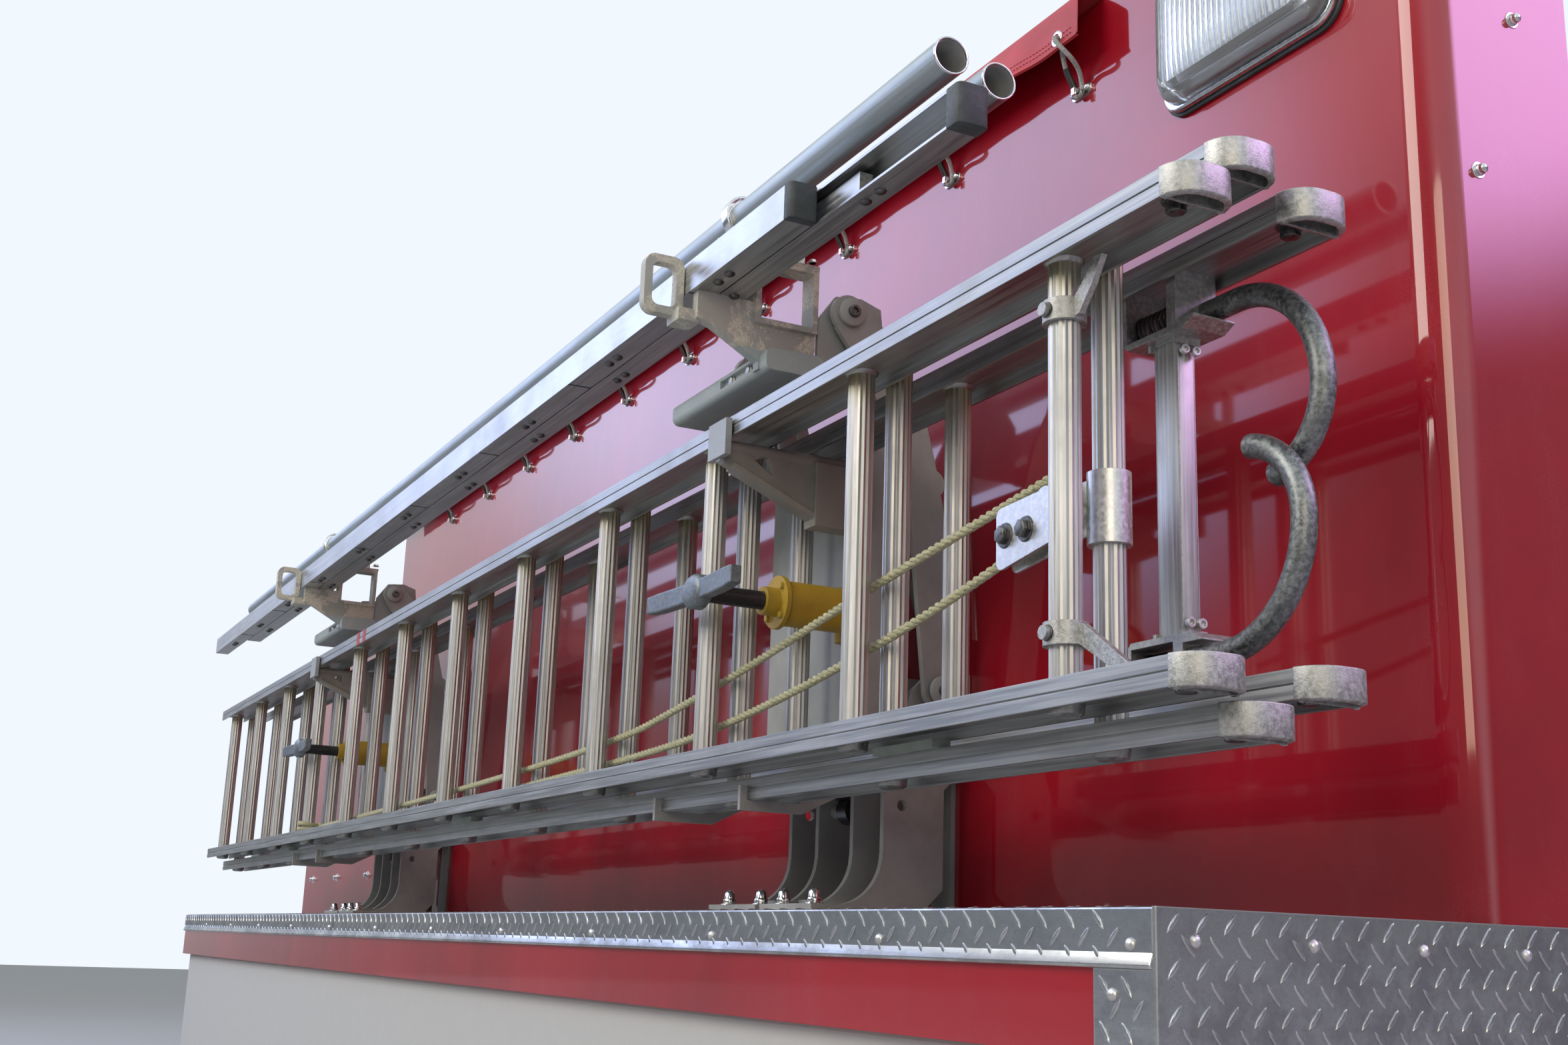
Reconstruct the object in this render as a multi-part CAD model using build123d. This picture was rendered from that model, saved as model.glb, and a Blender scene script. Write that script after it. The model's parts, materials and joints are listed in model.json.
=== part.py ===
"""Upper body side of a fire engine with its folding side rack and the ladder load.

Millimetres. +X runs to the vehicle's rear, -Y is the ladder side, +Z is up. The origin
is the centre of the four mounting bolts on the underside of the header beam.
"""

import os
from dataclasses import dataclass
from math import cos, hypot, pi, radians, sin

from build123d import *

# Fits
RUN_FIT = 0.05           # radial clearance of a pin in its eye
SEAT_GAP = 0.3           # gap left where a soft or curved piece is seated
SINK = 1.0               # how far a pin is let into the piece that carries it
CUT = 1.0                # how far a cutting shape stands past a face

# Body side: header beam and ledge
REAR_X = 2215.0          # rear face of the body side
FRONT_X = -2215.0        # front end of the ledge and the low panel
LEDGE_Y = -185.0         # outer face of the ledge's trim lip
LEDGE_Z = 110.0          # top of the ledge
TREAD = 3.0              # thickness of the tread plate
LIP_TALL = 45.0          # height of the trim lip
FOLD_R = 2.4             # outer radius of the tread plate's folds
CORNER_LEG = 70.0        # front leg of the rear corner plate
HEADER_SHEET = 4.0
HEADER_FLANGE = 50.0
CROSS_WIDE = 60.0
CROSS_COUNT = 5
BOLT_X = 2000.0          # mounting bolts, half the spacing along the beam
BOLT_Y = 157.0           # and across it
BOLT_HOLE_R = 7.0

# Body side: wall
WALL_Y = 150.0           # outer face of the wall
WALL_TOP = 1190.0        # top edge of the wall
WALL_DEEP = 45.0         # depth of the wall from skin to liner
SKIN = 3.0               # thickness of the wall's sheet
STEP_X = -1355.0         # front end of the full-height wall
STEP_Z = 880.0           # top of the low front panel
CORNER_R = 35.0          # radius of the rear vertical corner
POST_WIDE = 190.0        # rear face, measured across the vehicle
POST_DEEP = 60.0
BEAD_PITCH = 410.0       # pressed beads of the liner
BEAD_WIDE = 60.0
BEAD_TALL = 8.0
BEAD_END = 40.0

# Cover and its hooks
HOOK_X = 1695.0
HOOK_PITCH = 288.0
HOOK_COUNT = 10
HOOK_DROP = 105.0        # hooks below the wall's top
HOOK_PLATE = (38.0, 14.0, 2.5)   # width, height, thickness
HOOK_SCREW_X = 13.5      # screws, out from the horn
HOOK_SCREW_R = 4.0
HOOK_SCREW_TALL = 2.5
HORN_R = 3.0
HORN_LONG = 12.0
COVER_HANG = 40.0        # how far the cover hangs below the wall's top
COVER_SHEET = 3.0
COVER_FRONT = 20.0       # cover's ends, in from the wall's ends
COVER_REAR = 300.0
GROMMET_DROP = 18.0      # grommets above the cover's lower edge
LOOP_R = 3.0
LOOP_SPREAD = 9.0

# Scene light
LIGHT_LEFT = 1855.0
LIGHT_RIGHT = 2115.0
LIGHT_DROP = 50.0        # lamp's top below the wall's top
LIGHT_TALL = 165.0
LIGHT_DEEP = 42.0
LIGHT_R = 30.0
LIGHT_BACK = 8.0         # thickness behind the lens
LENS_INSET = 16.0
LENS_SUNK = 6.0          # lens behind the bezel's front

# Ladders
RUNG_PITCH = 355.6       # 14 inches
RUNG_X = 2085.0          # first rung
RUNG_COUNT = 12
RUNG_R = 14.2
RUNG_FLUTE = 1.0
RUNG_FLUTES = 16
RAIL_DEEP = 62.0
RAIL_TALL = 24.0
RAIL_WALL = 3.5
RAIL_WEB = 4.0
RAIL_GROOVE = 1.6
RAIL_LEFT = -1890.0
RAIL_RIGHT = 2257.0
CAP_LONG = 68.0
CAP_NOSE_R = 27.0
CAP_WALL = 5.0
CAP_PROUD = 1.0
PLUG_R = 15.5
PLUG_TALL = 4.0
PLUG_SIDES = 12
GUIDE_LONG = 110.0
GUIDE_DEEP = 20.0
GUIDE_LAP = 24.0         # guide's start, in from the fly's inner flange
GUIDE_RUNGS = (1, 5, 9)

# Roof ladder's hooks
HOOK_BAR_R = 10.5
SHANK_X = 2115.0
SHANK_DROP = 38.0        # shanks in from the rails' webs
HOOK_SHIFT = 13.0        # the two hooks pass side by side
HOOK_BIG_R = 98.0
HOOK_SMALL_R = 70.0
HOOK_TIP_TURN = 80.0
HOOK_BEND_X = 2153.0
CHISEL = (60.0, 40.0, 60.0)
CHISEL_TURN = 55.0
CHISEL_SHIFT = (-18.0, 36.0)     # (x, z) of the chisel cut from the bar's end
CROSSBAR_X = 31.0        # crossbar's section along the ladder
CROSSBAR_Y = 19.0        # and across it
CASTING_LONG = 76.0
CASTING_WIDE = 46.0
CASTING_REAR = 12.0
CASTING_FRONT = 8.0
CASTING_FLOOR = 6.0
CASTING_HALF = 22.0      # casting's floor, in from the shank
CASTING_EDGE = 8.0       # chamfer of the floor's front end
BLOCK_LONG = 24.0        # rear block under the shank
BLOCK_ROOM = 3.0         # its gap to the turning shank
BLOCK_SLOPE = 14.0       # chamfer of its far edge
SADDLE_WALL = 4.0        # tabs on the crossbar's front and rear
SADDLE_TALL = 24.0
SPRING_R = 11.0
SPRING_BORE_R = 7.0

# Halyard, pulley and rung locks
ROPE_R = 5.0
ROPE_WRAP_R = 21.5       # rope's centreline round the sheave
SHEAVE_X = 2032.5
SHEAVE_Z = 456.0
ROPE_ROUTE = (
    # x, z of each corner, and the radius there
    (-745.0, 302.0, 0.0),
    (919.0, 322.0, 1500.0),
    (1366.0, 376.0, 1500.0),
    (1726.0, 436.0, 900.0),
    (2054.0, 481.6, ROPE_WRAP_R),
    (2054.0, 438.4, ROPE_WRAP_R),
    (1795.0, 381.0, 600.0),
    (1453.0, 331.0, 1200.0),
    (1100.0, 306.0, 1500.0),
    (200.0, 294.3, 0.0),
)
CHEEK = 3.0
CHEEK_IN = 7.0           # cheek plates' inner faces, from the rope's plane
CHEEK_EDGE = (
    # x, z of the outer cheek's corners, from the sheave's centre
    (-70.0, -50.0),
    (28.0, -34.0),
    (28.0, 14.0),
    (-70.0, 8.0),
)
CHEEK_R = 8.0
SLEEVE_WALL = 5.0
SLEEVE_LOW = 44.0
SLEEVE_HIGH = 20.0
PULLEY_BOLTS = (-56.0, -24.0)
PULLEY_BOLT_R = 7.0
PULLEY_BOLT_TALL = 6.0
PULLEY_BOLT_DROP = 18.0
LOCK_TALL = 20.0
LOCK_WALL = 5.0
LOCK_THICK = 6.0
LOCK_BOLT_R = 6.0
LOCK_BOLT_TALL = 5.0
LOCK_HIGH = 612.0        # upper lock's band
LOCK_LOW = 330.0         # lower lock's band
LOCK_ARM_HIGH = (
    # x from the rung, z from the band
    (16.5, -8.0),
    (25.0, -7.0),
    (43.0, 14.0),
    (57.0, 36.0),
    (46.0, 37.0),
    (30.0, 20.0),
    (16.5, 8.0),
)
LOCK_ARM_LOW = (
    (16.5, 8.0),
    (27.0, 6.0),
    (84.0, -33.0),
    (78.0, -44.0),
    (23.0, -11.0),
    (16.5, -8.0),
)

# Rack stations and their linkage
STATION_X = 1340.0
STATION_PITCH = 6 * RUNG_PITCH
STATIONS = (STATION_X, STATION_X - STATION_PITCH)
ARM_PIVOT = (93.0, 377.0)        # (y, z) of the arms' lower pivot
CARRIER_PIVOT = (-44.0, 831.0)   # (y, z) of the arms' upper pivot
LINK_OFFSET = (30.0, 10.0)       # level link's pivots, from the arms' pivots
RAM_FOOT = (55.0, 240.0)         # (y, z) of the ram's lower pin
RAM_EYE = (78.0, 634.0)          # (y, z) of the ram's eye on the arms
RACK_PLATE = 8.0
GUSSET_IN = 40.0         # inner face of the inner gussets, from the station
GUSSET_OUT = 112.0       # inner face of the outer gussets
LINK_IN = 88.0
ARM_IN = 132.0
PIN_R = 10.0
LINK_PIN_R = 6.0
RAM_PIN_R = 8.0
PIN_HEAD = 6.0

# Rack base
FOOT_TALL = 12.0
FOOT_FRONT = -72.0
FOOT_OUT = 137.0         # outer edge of the feet, from the station
BASE_BACK = 1.0          # gap between the base and the wall
GUSSET_FRONT = 30.0
GUSSET_BACK = 113.0      # rear edge of the gussets below their neck
GUSSET_NECK = (262.0, 296.0)     # heights between which they widen to the wall
GUSSET_TALL = 261.0      # height of the gussets' straight front edge
GUSSET_ROUND = 28.0      # gussets stand this far round the arm pivot
FLARE_R = 62.0
GUSSET_HOLE_R = 6.5      # hole in the outer gussets, in line with the ram's pin
GUSSET_EDGE = 24.0       # chamfer of the outer gussets' rear foot
PAD_SIDE = 10.0          # raised pad round each inner gusset
PAD_TALL = 6.0
FOOT_SPLIT = 6.0         # half the gap between the two feet
STRIP_WIDE = 44.0
STRIP_THICK = 6.0
STRIP_TALL = 437.0

# Arms, links and rams
ARM_EYE_R = 22.0
ARM_HEAD_R = 24.0
RAM_BOSS_R = 18.0
RAM_STUD_IN = 22.0
ARM_EDGE = (
    # share of the way from the lower to the upper pivot, and the offset to the wall side
    (0.013, -21.1),
    (0.228, -1.8),
    (0.457, 18.5),
    (0.676, 20.5),
    (0.855, -0.9),
    (0.973, -22.7),
    (1.031, 23.3),
    (0.895, 57.1),
    (0.692, 72.8),
    (0.561, 70.8),
    (0.462, 67.1),
    (0.201, 40.3),
    (-0.013, 21.1),
)
LINK_HALF = 8.0
LINK_EYE_R = 11.0
RAM_BARREL = 232.0
BARREL_LOW = 12.0
BARREL_R = 22.0
BORE_LOW = 30.0
FOOT_EYE_R = 17.0
FOOT_EYE_WIDE = 24.0
ROD_R = 9.0
ROD_LOW = 200.0          # rod's inner end at rest, from the foot pin
ROD_EYE_R = 16.0
ROD_EYE_WIDE = 36.0

# Carrier: mast, cradles and top bracket
MAST_HALF = 125.0
MAST_FRONT = -5.0
MAST_BACK = 23.0
MAST_LOW = 255.0
MAST_HIGH = 690.0
MAST_SHEET = 6.0
LUG_DROP = 93.0          # lug's front foot below the carrier pivot
LUG_EDGE = (
    # y, z of the lug's corners, from the carrier pivot
    (52.0, 20.0),
    (24.0, 29.0),
    (-12.0, 25.0),
    (-36.0, -9.0),
    (-36.0, -LUG_DROP),
)
LUG_BACK_DROP = 111.0
CRADLE_X = 119.0         # centre of the cradle plates, from the station
CRADLE_WIDE = 10.0
CRADLE_ROD_R = 7.5
CRADLE_EDGE = (
    # y from the lip, z from the seat
    (0.0, -14.0),
    (-6.0, -28.0),
    (11.0, -35.0),
    (118.0, -81.0),
    (140.0, -82.0),
)
CRADLE_ROOT = (-90.0, -12.0)     # foot and head of the plate on the mast, from the seat
CRADLE_WINDOW = (
    (58.0, -11.0),
    (40.0, -20.0),
    (64.0, -36.0),
)
CRADLE_FLANGE = 11.0     # half the width of the thick lower edge
CRADLE_FLANGE_TALL = 7.0
CRADLE_BOX = 118.0       # front of the box at the root, from the lip
CRADLE_BOX_HALF = 14.0
LIP_GAP = 2.0
LIP_THICK = 8.0
LIP_HALF = 24.0
LIP_DOWN = 24.0
LIP_UP = 20.0
ARM_STEP = 8.0           # lower cradle's step, in front of the roof ladder's rail
ARM_THICK = 12.0
ARM_HOOK_TALL = 16.0
ARM_HAUNCH = 44.0
BLOCK_LEFT = 132.0
BLOCK_RIGHT = 145.0
BLOCK_DEEP = 78.0
BLOCK_TALL = 28.0
BLOCK_R = 9.0            # radius of its long edges
RECESS = (16.0, 112.0, 5.0, 6.0)     # x from, x to, half height and depth of its bolt recess
NECK_HALF = 7.0
NECK_EDGE = (
    # y from the attic ladder's front, z from its underside
    (6.0, 0.0),
    (6.0, -34.0),
    (26.0, -40.0),
    (88.0, -74.0),
    (88.0, -84.0),
    (152.0, -84.0),
    (164.0, -48.0),
    (164.0, -24.0),
    (83.0, -20.0),
    (83.0, 0.0),
)
FRAME_HALF = 15.0        # square frame, half its width along X
FRAME_FRONT = 79.0       # its outer faces, from the attic ladder's front
FRAME_BACK = 163.0
FRAME_DROP = 28.0        # its foot below the attic ladder
FRAME_BAR = 7.0
SADDLE_TALL = 5.0
SADDLE_HALF = 12.0
STRAP_ROOM = 22.0        # saddle below the tubes
LATCH_X = (34.0, 20.0)   # latch loop's faces, in front of the cradle plate
LATCH_FRONT = 52.0       # its outer faces, out from the attic ladder's front
LATCH_BACK = 1.0
LATCH_DROP = 28.0
LATCH_TALL = 74.0
LATCH_BAR = 10.0
LATCH_R = 14.0           # its outer corners
LATCH_FOOT = 14.0

# Ladder clamps
CLAMP_X = 100.0          # clamp's shaft, from the station
CLAMP_Z = 468.0
CLAMP_BAR = 235.0
CLAMP_BAR_FRONT = -228.0
CLAMP_BAR_DEEP = 18.0
CLAMP_BAR_HALF = 13.0
CLAMP_BAR_R = 9.0
SHAFT_R = 11.0
SHAFT_BACK = -62.0
SHAFT_LAP = 4.0
HOUSING_R = 27.0
HOUSING_FRONT = -112.0
HOUSING_FLANGE_R = 32.0
HOUSING_FLANGE = 6.0
HOUSING_FOOT = 34.0      # half the side of the foot on the mast
HOUSING_FOOT_THICK = 8.0
FLANGE_BOLTS = 4
FLANGE_BOLT_R = 4.0
COLLAR_R = 17.0
COLLAR_LONG = 18.0

# What lies on top of the rack
ATTIC_TALL = 40.0
ATTIC_DEEP = 33.0
ATTIC_LONG = 3500.0
ATTIC_Z = 826.0
ATTIC_FRONT = -248.0
ATTIC_RIGHT = 1700.0
ATTIC_SHIFT = 285.0
ATTIC_GAP = 2.0
ATTIC_SIDE = 2.5
ATTIC_FLOOR = 3.0
ATTIC_RUNG_HALF = 8.0
ATTIC_RUNG_END = 200.0
ATTIC_CAP_LONG = 26.0
ATTIC_CAP_R = 10.0
TUBE_R = 20.0
TUBE_WALL = 2.0
TUBE_Y = (-184.0, -115.0)
TUBE_Z = 929.0
TUBE_LEFT = -1615.0
TUBE_RIGHT = (1927.0, 1908.0)
STRAP_HALF = 10.0
STRAP_WALL = 3.0
STRAP_FOOT = 12.0


def box(x_from, x_to, y_from, y_to, z_from, z_to):
    """Block between two corners."""
    size = (x_to - x_from, y_to - y_from, z_to - z_from)
    return Pos(x_from, y_from, z_from) * Box(*size, align=(Align.MIN, Align.MIN, Align.MIN))


def x_rod(centre, x_from, x_to, radius):
    """Round bar along X, at a (y, z) centre."""
    length = x_to - x_from
    return Pos(x_from + length / 2, centre[0], centre[1]) * Rot(0, 90, 0) * Cylinder(radius, length)


def y_rod(x, z, y_from, y_to, radius):
    """Round bar along Y."""
    length = y_to - y_from
    return Pos(x, y_from + length / 2, z) * Rot(90, 0, 0) * Cylinder(radius, length)


def z_rod(x, y, z_from, z_to, radius):
    """Round bar along Z."""
    length = z_to - z_from
    return Pos(x, y, z_from + length / 2) * Cylinder(radius, length)


def yz_plate(outline, x_from, x_to):
    """Plate that lies across X, from a (y, z) outline."""
    face = Polygon(*outline, align=None)
    return Pos(x_from, 0, 0) * extrude(Plane.YZ * face, x_to - x_from, dir=(1, 0, 0))


def xz_plate(outline, y_from, y_to, corner=0.0):
    """Plate that lies across Y, from an (x, z) outline."""
    face = Polygon(*outline, align=None)
    if corner:
        face = fillet(face.vertices(), corner)
    return Pos(0, y_to, 0) * extrude(Plane.XZ * face, y_to - y_from, dir=(0, -1, 0))


def xy_plate(outline, z_from, z_to):
    """Level plate, from an (x, y) outline."""
    face = Polygon(*outline, align=None)
    return Pos(0, 0, z_from) * extrude(face, z_to - z_from, dir=(0, 0, 1))


def both_sides(centre_x, inner, outer, make):
    """Make one piece on each side of a station: make(x_from, x_to)."""
    return make(centre_x - outer, centre_x - inner) + make(centre_x + inner, centre_x + outer)


def group(*solids):
    """Put separate solids in one node."""
    return Compound(children=[part for solid in solids for part in solid.solids()])


def offset_from(point, steps):
    """Points at (y, z) steps from a point."""
    return [(point[0] + dy, point[1] + dz) for dy, dz in steps]


# Body side

TREAD_LOW = LEDGE_Z - TREAD
WALL_BACK = WALL_Y + WALL_DEEP
POST_BACK = WALL_Y + POST_WIDE


def flange_channel(y_web, y_open):
    """One long channel of the header, open on the far side from its web."""
    low = min(y_web, y_open)
    high = max(y_web, y_open)
    hollow_low = low + HEADER_SHEET if y_web < y_open else low
    hollow_high = high if y_web < y_open else high - HEADER_SHEET
    channel = box(FRONT_X, REAR_X, low, high, 0, TREAD_LOW)
    return channel - box(FRONT_X, REAR_X, hollow_low, hollow_high, HEADER_SHEET, TREAD_LOW - HEADER_SHEET)


def header_beam():
    """Folded beam over the compartments that carries the wall and the ledge."""
    front = LEDGE_Y + TREAD
    sheet = HEADER_SHEET
    beam = flange_channel(front, front + HEADER_FLANGE) + flange_channel(WALL_BACK, WALL_BACK - HEADER_FLANGE)
    last = CROSS_COUNT - 1
    for index in range(CROSS_COUNT):
        x = FRONT_X + (REAR_X - CROSS_WIDE - FRONT_X) * index / last
        back = POST_BACK if index == last else WALL_BACK
        cross = box(x, x + CROSS_WIDE, front, back, 0, TREAD_LOW)
        beam += cross - box(
            x, x + CROSS_WIDE - sheet, front + sheet, back - sheet, sheet, TREAD_LOW - sheet,
        )
    for x in (-BOLT_X, BOLT_X):
        for y in (-BOLT_Y, BOLT_Y):
            beam -= z_rod(x, y, -CUT, sheet + CUT, BOLT_HOLE_R)
    return beam


def ledge_cap():
    """Tread plate over the ledge, folded down into the trim lip."""
    plate = box(FRONT_X, REAR_X, LEDGE_Y, WALL_Y - SEAT_GAP, TREAD_LOW, LEDGE_Z)
    lip = box(FRONT_X, REAR_X, LEDGE_Y, LEDGE_Y + TREAD, LEDGE_Z - LIP_TALL, LEDGE_Z)
    cap = plate + lip
    fold = cap.edges().filter_by(Axis.X).group_by(Axis.Z)[-1].sort_by(Axis.Y)[0]
    return fillet(fold, FOLD_R)


def ledge_corner():
    """Tread plate corner round the rear end of the header."""
    rear = box(REAR_X, REAR_X + TREAD, LEDGE_Y, POST_BACK, 0, LEDGE_Z)
    front_top = LEDGE_Z - LIP_TALL - SEAT_GAP
    front = box(REAR_X - CORNER_LEG, REAR_X + TREAD, LEDGE_Y, LEDGE_Y + TREAD, 0, front_top)
    corner = rear + front
    edge = corner.edges().filter_by(Axis.Z).sort_by(Axis.X)[-2:].sort_by(Axis.Y)[0]
    return fillet(edge, FOLD_R)


def wall_plan(inset, back):
    """Wall and rear post as one block, drawn in by an inset, its rear corner rounded."""
    top = WALL_TOP - inset
    flat = box(FRONT_X + inset, REAR_X - inset, WALL_Y + inset, back, TREAD_LOW, top)
    post = box(
        REAR_X - POST_DEEP + inset, REAR_X - inset, WALL_Y + inset, POST_BACK - inset, TREAD_LOW, top,
    )
    block = flat + post
    corner = block.edges().filter_by(Axis.Z).sort_by(lambda e: e.center().X - e.center().Y)[-1]
    return fillet(corner, CORNER_R - inset)


def wall_step(inset):
    """What is cut away over the low front panel."""
    return box(
        FRONT_X - CUT, STEP_X + inset, WALL_Y - CUT, POST_BACK, STEP_Z - inset, WALL_TOP + CUT,
    )


def wall_skin():
    """Red outer sheet with its rounded rear corner, box post and folded edges."""
    outer = wall_plan(0, WALL_BACK) - wall_step(0)
    inner = wall_plan(SKIN, WALL_BACK + CUT) - wall_step(SKIN)
    return outer - inner


def wall_liner():
    """Inner sheet on the hose-bed side, with pressed upright beads."""
    right = REAR_X - POST_DEEP - SEAT_GAP
    outline = [
        (FRONT_X, TREAD_LOW), (right, TREAD_LOW), (right, WALL_TOP),
        (STEP_X, WALL_TOP), (STEP_X, STEP_Z), (FRONT_X, STEP_Z),
    ]
    sheet = xz_plate(outline, WALL_BACK, WALL_BACK + SKIN)
    face = WALL_BACK + SKIN
    x = FRONT_X + BEAD_PITCH / 2
    while x < right - BEAD_WIDE:
        top = STEP_Z if x < STEP_X + BEAD_WIDE else WALL_TOP
        outline = [
            (x - BEAD_WIDE / 2, face),
            (x - BEAD_WIDE / 4, face + BEAD_TALL),
            (x + BEAD_WIDE / 4, face + BEAD_TALL),
            (x + BEAD_WIDE / 2, face),
        ]
        sheet += xy_plate(outline, TREAD_LOW + BEAD_END, top - BEAD_END)
        x += BEAD_PITCH
    return sheet


# Cover and lamp


def hook_places():
    """X of each cover hook."""
    return [HOOK_X - HOOK_PITCH * i for i in range(HOOK_COUNT)]


def cover_flap():
    """Edge of the hose-bed cover, folded over the top of the wall."""
    left = STEP_X + COVER_FRONT
    right = REAR_X - COVER_REAR
    outside = WALL_Y - SEAT_GAP - COVER_SHEET
    seat = WALL_TOP + SEAT_GAP
    top = seat + COVER_SHEET
    hang = box(left, right, outside, WALL_Y - SEAT_GAP, WALL_TOP - COVER_HANG, top)
    return hang + box(left, right, outside, WALL_BACK, seat, top)


def cover_hooks():
    """Chrome hook plates on the wall, one below each grommet of the cover."""
    wide, tall, thick = HOOK_PLATE
    z = WALL_TOP - HOOK_DROP
    face = WALL_Y - thick
    hooks = []
    for x in hook_places():
        plate = box(x - wide / 2, x + wide / 2, face, WALL_Y, z - tall / 2, z + tall / 2)
        plate = fillet(plate.edges().filter_by(Axis.Y), tall * 0.4)
        horn = y_rod(x, z, face - HORN_LONG, face, HORN_R)
        lip = Pos(x, face - HORN_LONG, z - HORN_R) * Box(2 * HORN_R, TREAD, 3 * HORN_R)
        for screw_x in (x - HOOK_SCREW_X, x + HOOK_SCREW_X):
            plate += y_rod(screw_x, z, face - HOOK_SCREW_TALL, face, HOOK_SCREW_R)
        hooks.append(plate + horn + lip)
    return group(*hooks)


def shock_loops():
    """Elastic cord from each grommet of the cover down to its hook."""
    y = WALL_Y - COVER_SHEET - 2 * SEAT_GAP - LOOP_R
    loops = []
    for x in hook_places():
        for side in (-1, 1):
            foot = Vector(x + side * (LOOP_R + HORN_R), y, WALL_TOP - HOOK_DROP)
            head = Vector(x + side * LOOP_SPREAD, y, WALL_TOP - COVER_HANG + GROMMET_DROP)
            plane = Plane(origin=foot, z_dir=(head - foot).normalized())
            loops.append(extrude(plane * RegularPolygon(LOOP_R, 6), (head - foot).length))
    return group(*loops)


def light_outline(inset):
    """Rounded (x, z) outline of the scene light."""
    width = LIGHT_RIGHT - LIGHT_LEFT - 2 * inset
    height = LIGHT_TALL - 2 * inset
    centre = Pos((LIGHT_LEFT + LIGHT_RIGHT) / 2, WALL_TOP - LIGHT_DROP - LIGHT_TALL / 2)
    return Plane.XZ * centre * RectangleRounded(width, height, LIGHT_R - inset * 0.6)


def scene_light():
    """Bezel and gasket of the scene light on the wall."""
    rim = Pos(0, WALL_Y, 0) * extrude(light_outline(0), LIGHT_DEEP)
    recess = Pos(0, WALL_Y - LIGHT_BACK, 0) * extrude(light_outline(LENS_INSET), LIGHT_DEEP)
    return rim - recess


def scene_light_lens():
    """Clear lens that fills the bezel."""
    thick = LIGHT_DEEP - LIGHT_BACK - LENS_SUNK
    return Pos(0, WALL_Y - LIGHT_BACK, 0) * extrude(light_outline(LENS_INSET + SEAT_GAP), thick)


# Ladders


@dataclass(frozen=True)
class Ladder:
    """One ladder of the load."""

    name: str
    plane_y: float      # middle of the rungs
    low_z: float        # underside of the lower rail
    high_z: float       # top of the upper rail
    first_rung: int

    def rail_centres(self):
        """Heights of the two rails' webs."""
        return self.low_z + RAIL_TALL / 2, self.high_z - RAIL_TALL / 2

    def rung_places(self):
        """X of each rung."""
        return [RUNG_X - RUNG_PITCH * i for i in range(self.first_rung, RUNG_COUNT)]


FLY = Ladder("fly", -165.0, 265.0, 674.0, 0)
BED = Ladder("bed", -119.0, 233.0, 706.0, 0)
ROOF = Ladder("roof", -45.0, 267.0, 680.0, 1)


def rail_section():
    """I section with a flat web, deep across Y, and a groove along each flange."""
    half = RAIL_DEEP / 2
    tall = RAIL_TALL / 2
    wall = half - RAIL_WALL
    web = RAIL_WEB / 2
    groove = RAIL_GROOVE / 2
    quarter = [
        (wall, web), (wall, tall), (half, tall), (half, groove), (half - RAIL_GROOVE, groove),
    ]
    right = quarter + [(y, -z) for y, z in reversed(quarter)]
    left = [(-y, -z) for y, z in right]
    return right + left


def ladder_rails(ladder):
    """Upper and lower rail."""
    rails = []
    for z in ladder.rail_centres():
        outline = offset_from((ladder.plane_y, z), rail_section())
        rails.append(yz_plate(outline, RAIL_LEFT, RAIL_RIGHT))
    return group(*rails)


def rung_outline():
    """Fluted round section."""
    count = 2 * RUNG_FLUTES
    points = []
    for i in range(count):
        radius = RUNG_R if i % 2 else RUNG_R - RUNG_FLUTE
        points.append((radius * cos(2 * pi * i / count), radius * sin(2 * pi * i / count)))
    return points


def ladder_rungs(ladder):
    """Fluted rungs between the webs, each with its swaged plug below the lower rail."""
    low, high = ladder.rail_centres()
    outline = rung_outline()
    solids = []
    for x in ladder.rung_places():
        place = Pos(x, ladder.plane_y, 0)
        solids.append(place * xy_plate(outline, low + RAIL_WEB / 2, high - RAIL_WEB / 2))
        plug = extrude(RegularPolygon(PLUG_R, PLUG_SIDES), PLUG_TALL)
        solids.append(place * Pos(0, 0, low - RAIL_WEB / 2 - PLUG_TALL) * plug)
    return group(*solids)


def cap_nose(ladder, inset, z_from, z_to):
    """Block over a rail's rear end, its two corners rounded."""
    half = RAIL_DEEP / 2 + CAP_PROUD - inset
    x_end = RAIL_RIGHT + CAP_LONG - inset
    block = box(RAIL_RIGHT, x_end, ladder.plane_y - half, ladder.plane_y + half, z_from, z_to)
    tips = block.edges().filter_by(Axis.Z).sort_by(Axis.X)[-2:]
    return fillet(tips, CAP_NOSE_R - inset)


def ladder_caps(ladder):
    """Cast noses over the rear ends of the rails, hollow below."""
    solids = []
    for z in ladder.rail_centres():
        low = z - RAIL_TALL / 2 - CAP_PROUD
        high = z + RAIL_TALL / 2 + CAP_PROUD
        solids.append(cap_nose(ladder, 0, low, high) - cap_nose(ladder, CAP_WALL, low - CUT, z))
    return group(*solids)


def rail_guides():
    """Slide guides between the fly's and the bed's rails."""
    y = FLY.plane_y + RAIL_DEEP / 2 - GUIDE_LAP
    gaps = ((BED.low_z + RAIL_TALL, FLY.low_z), (FLY.high_z, BED.high_z - RAIL_TALL))
    solids = []
    for rung in GUIDE_RUNGS:
        x = RUNG_X - RUNG_PITCH * rung + 2 * RUNG_R
        for low, high in gaps:
            solids.append(box(x, x + GUIDE_LONG, y, y + GUIDE_DEEP, low, high))
    return group(*solids)


# Roof ladder's hooks


def hook_heights():
    """Heights of the lower and the upper hook's shank."""
    low, high = ROOF.rail_centres()
    return low + SHANK_DROP, high - SHANK_DROP


def hook_planes():
    """Y of the lower and the upper hook."""
    return ROOF.plane_y - HOOK_SHIFT, ROOF.plane_y + HOOK_SHIFT


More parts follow.
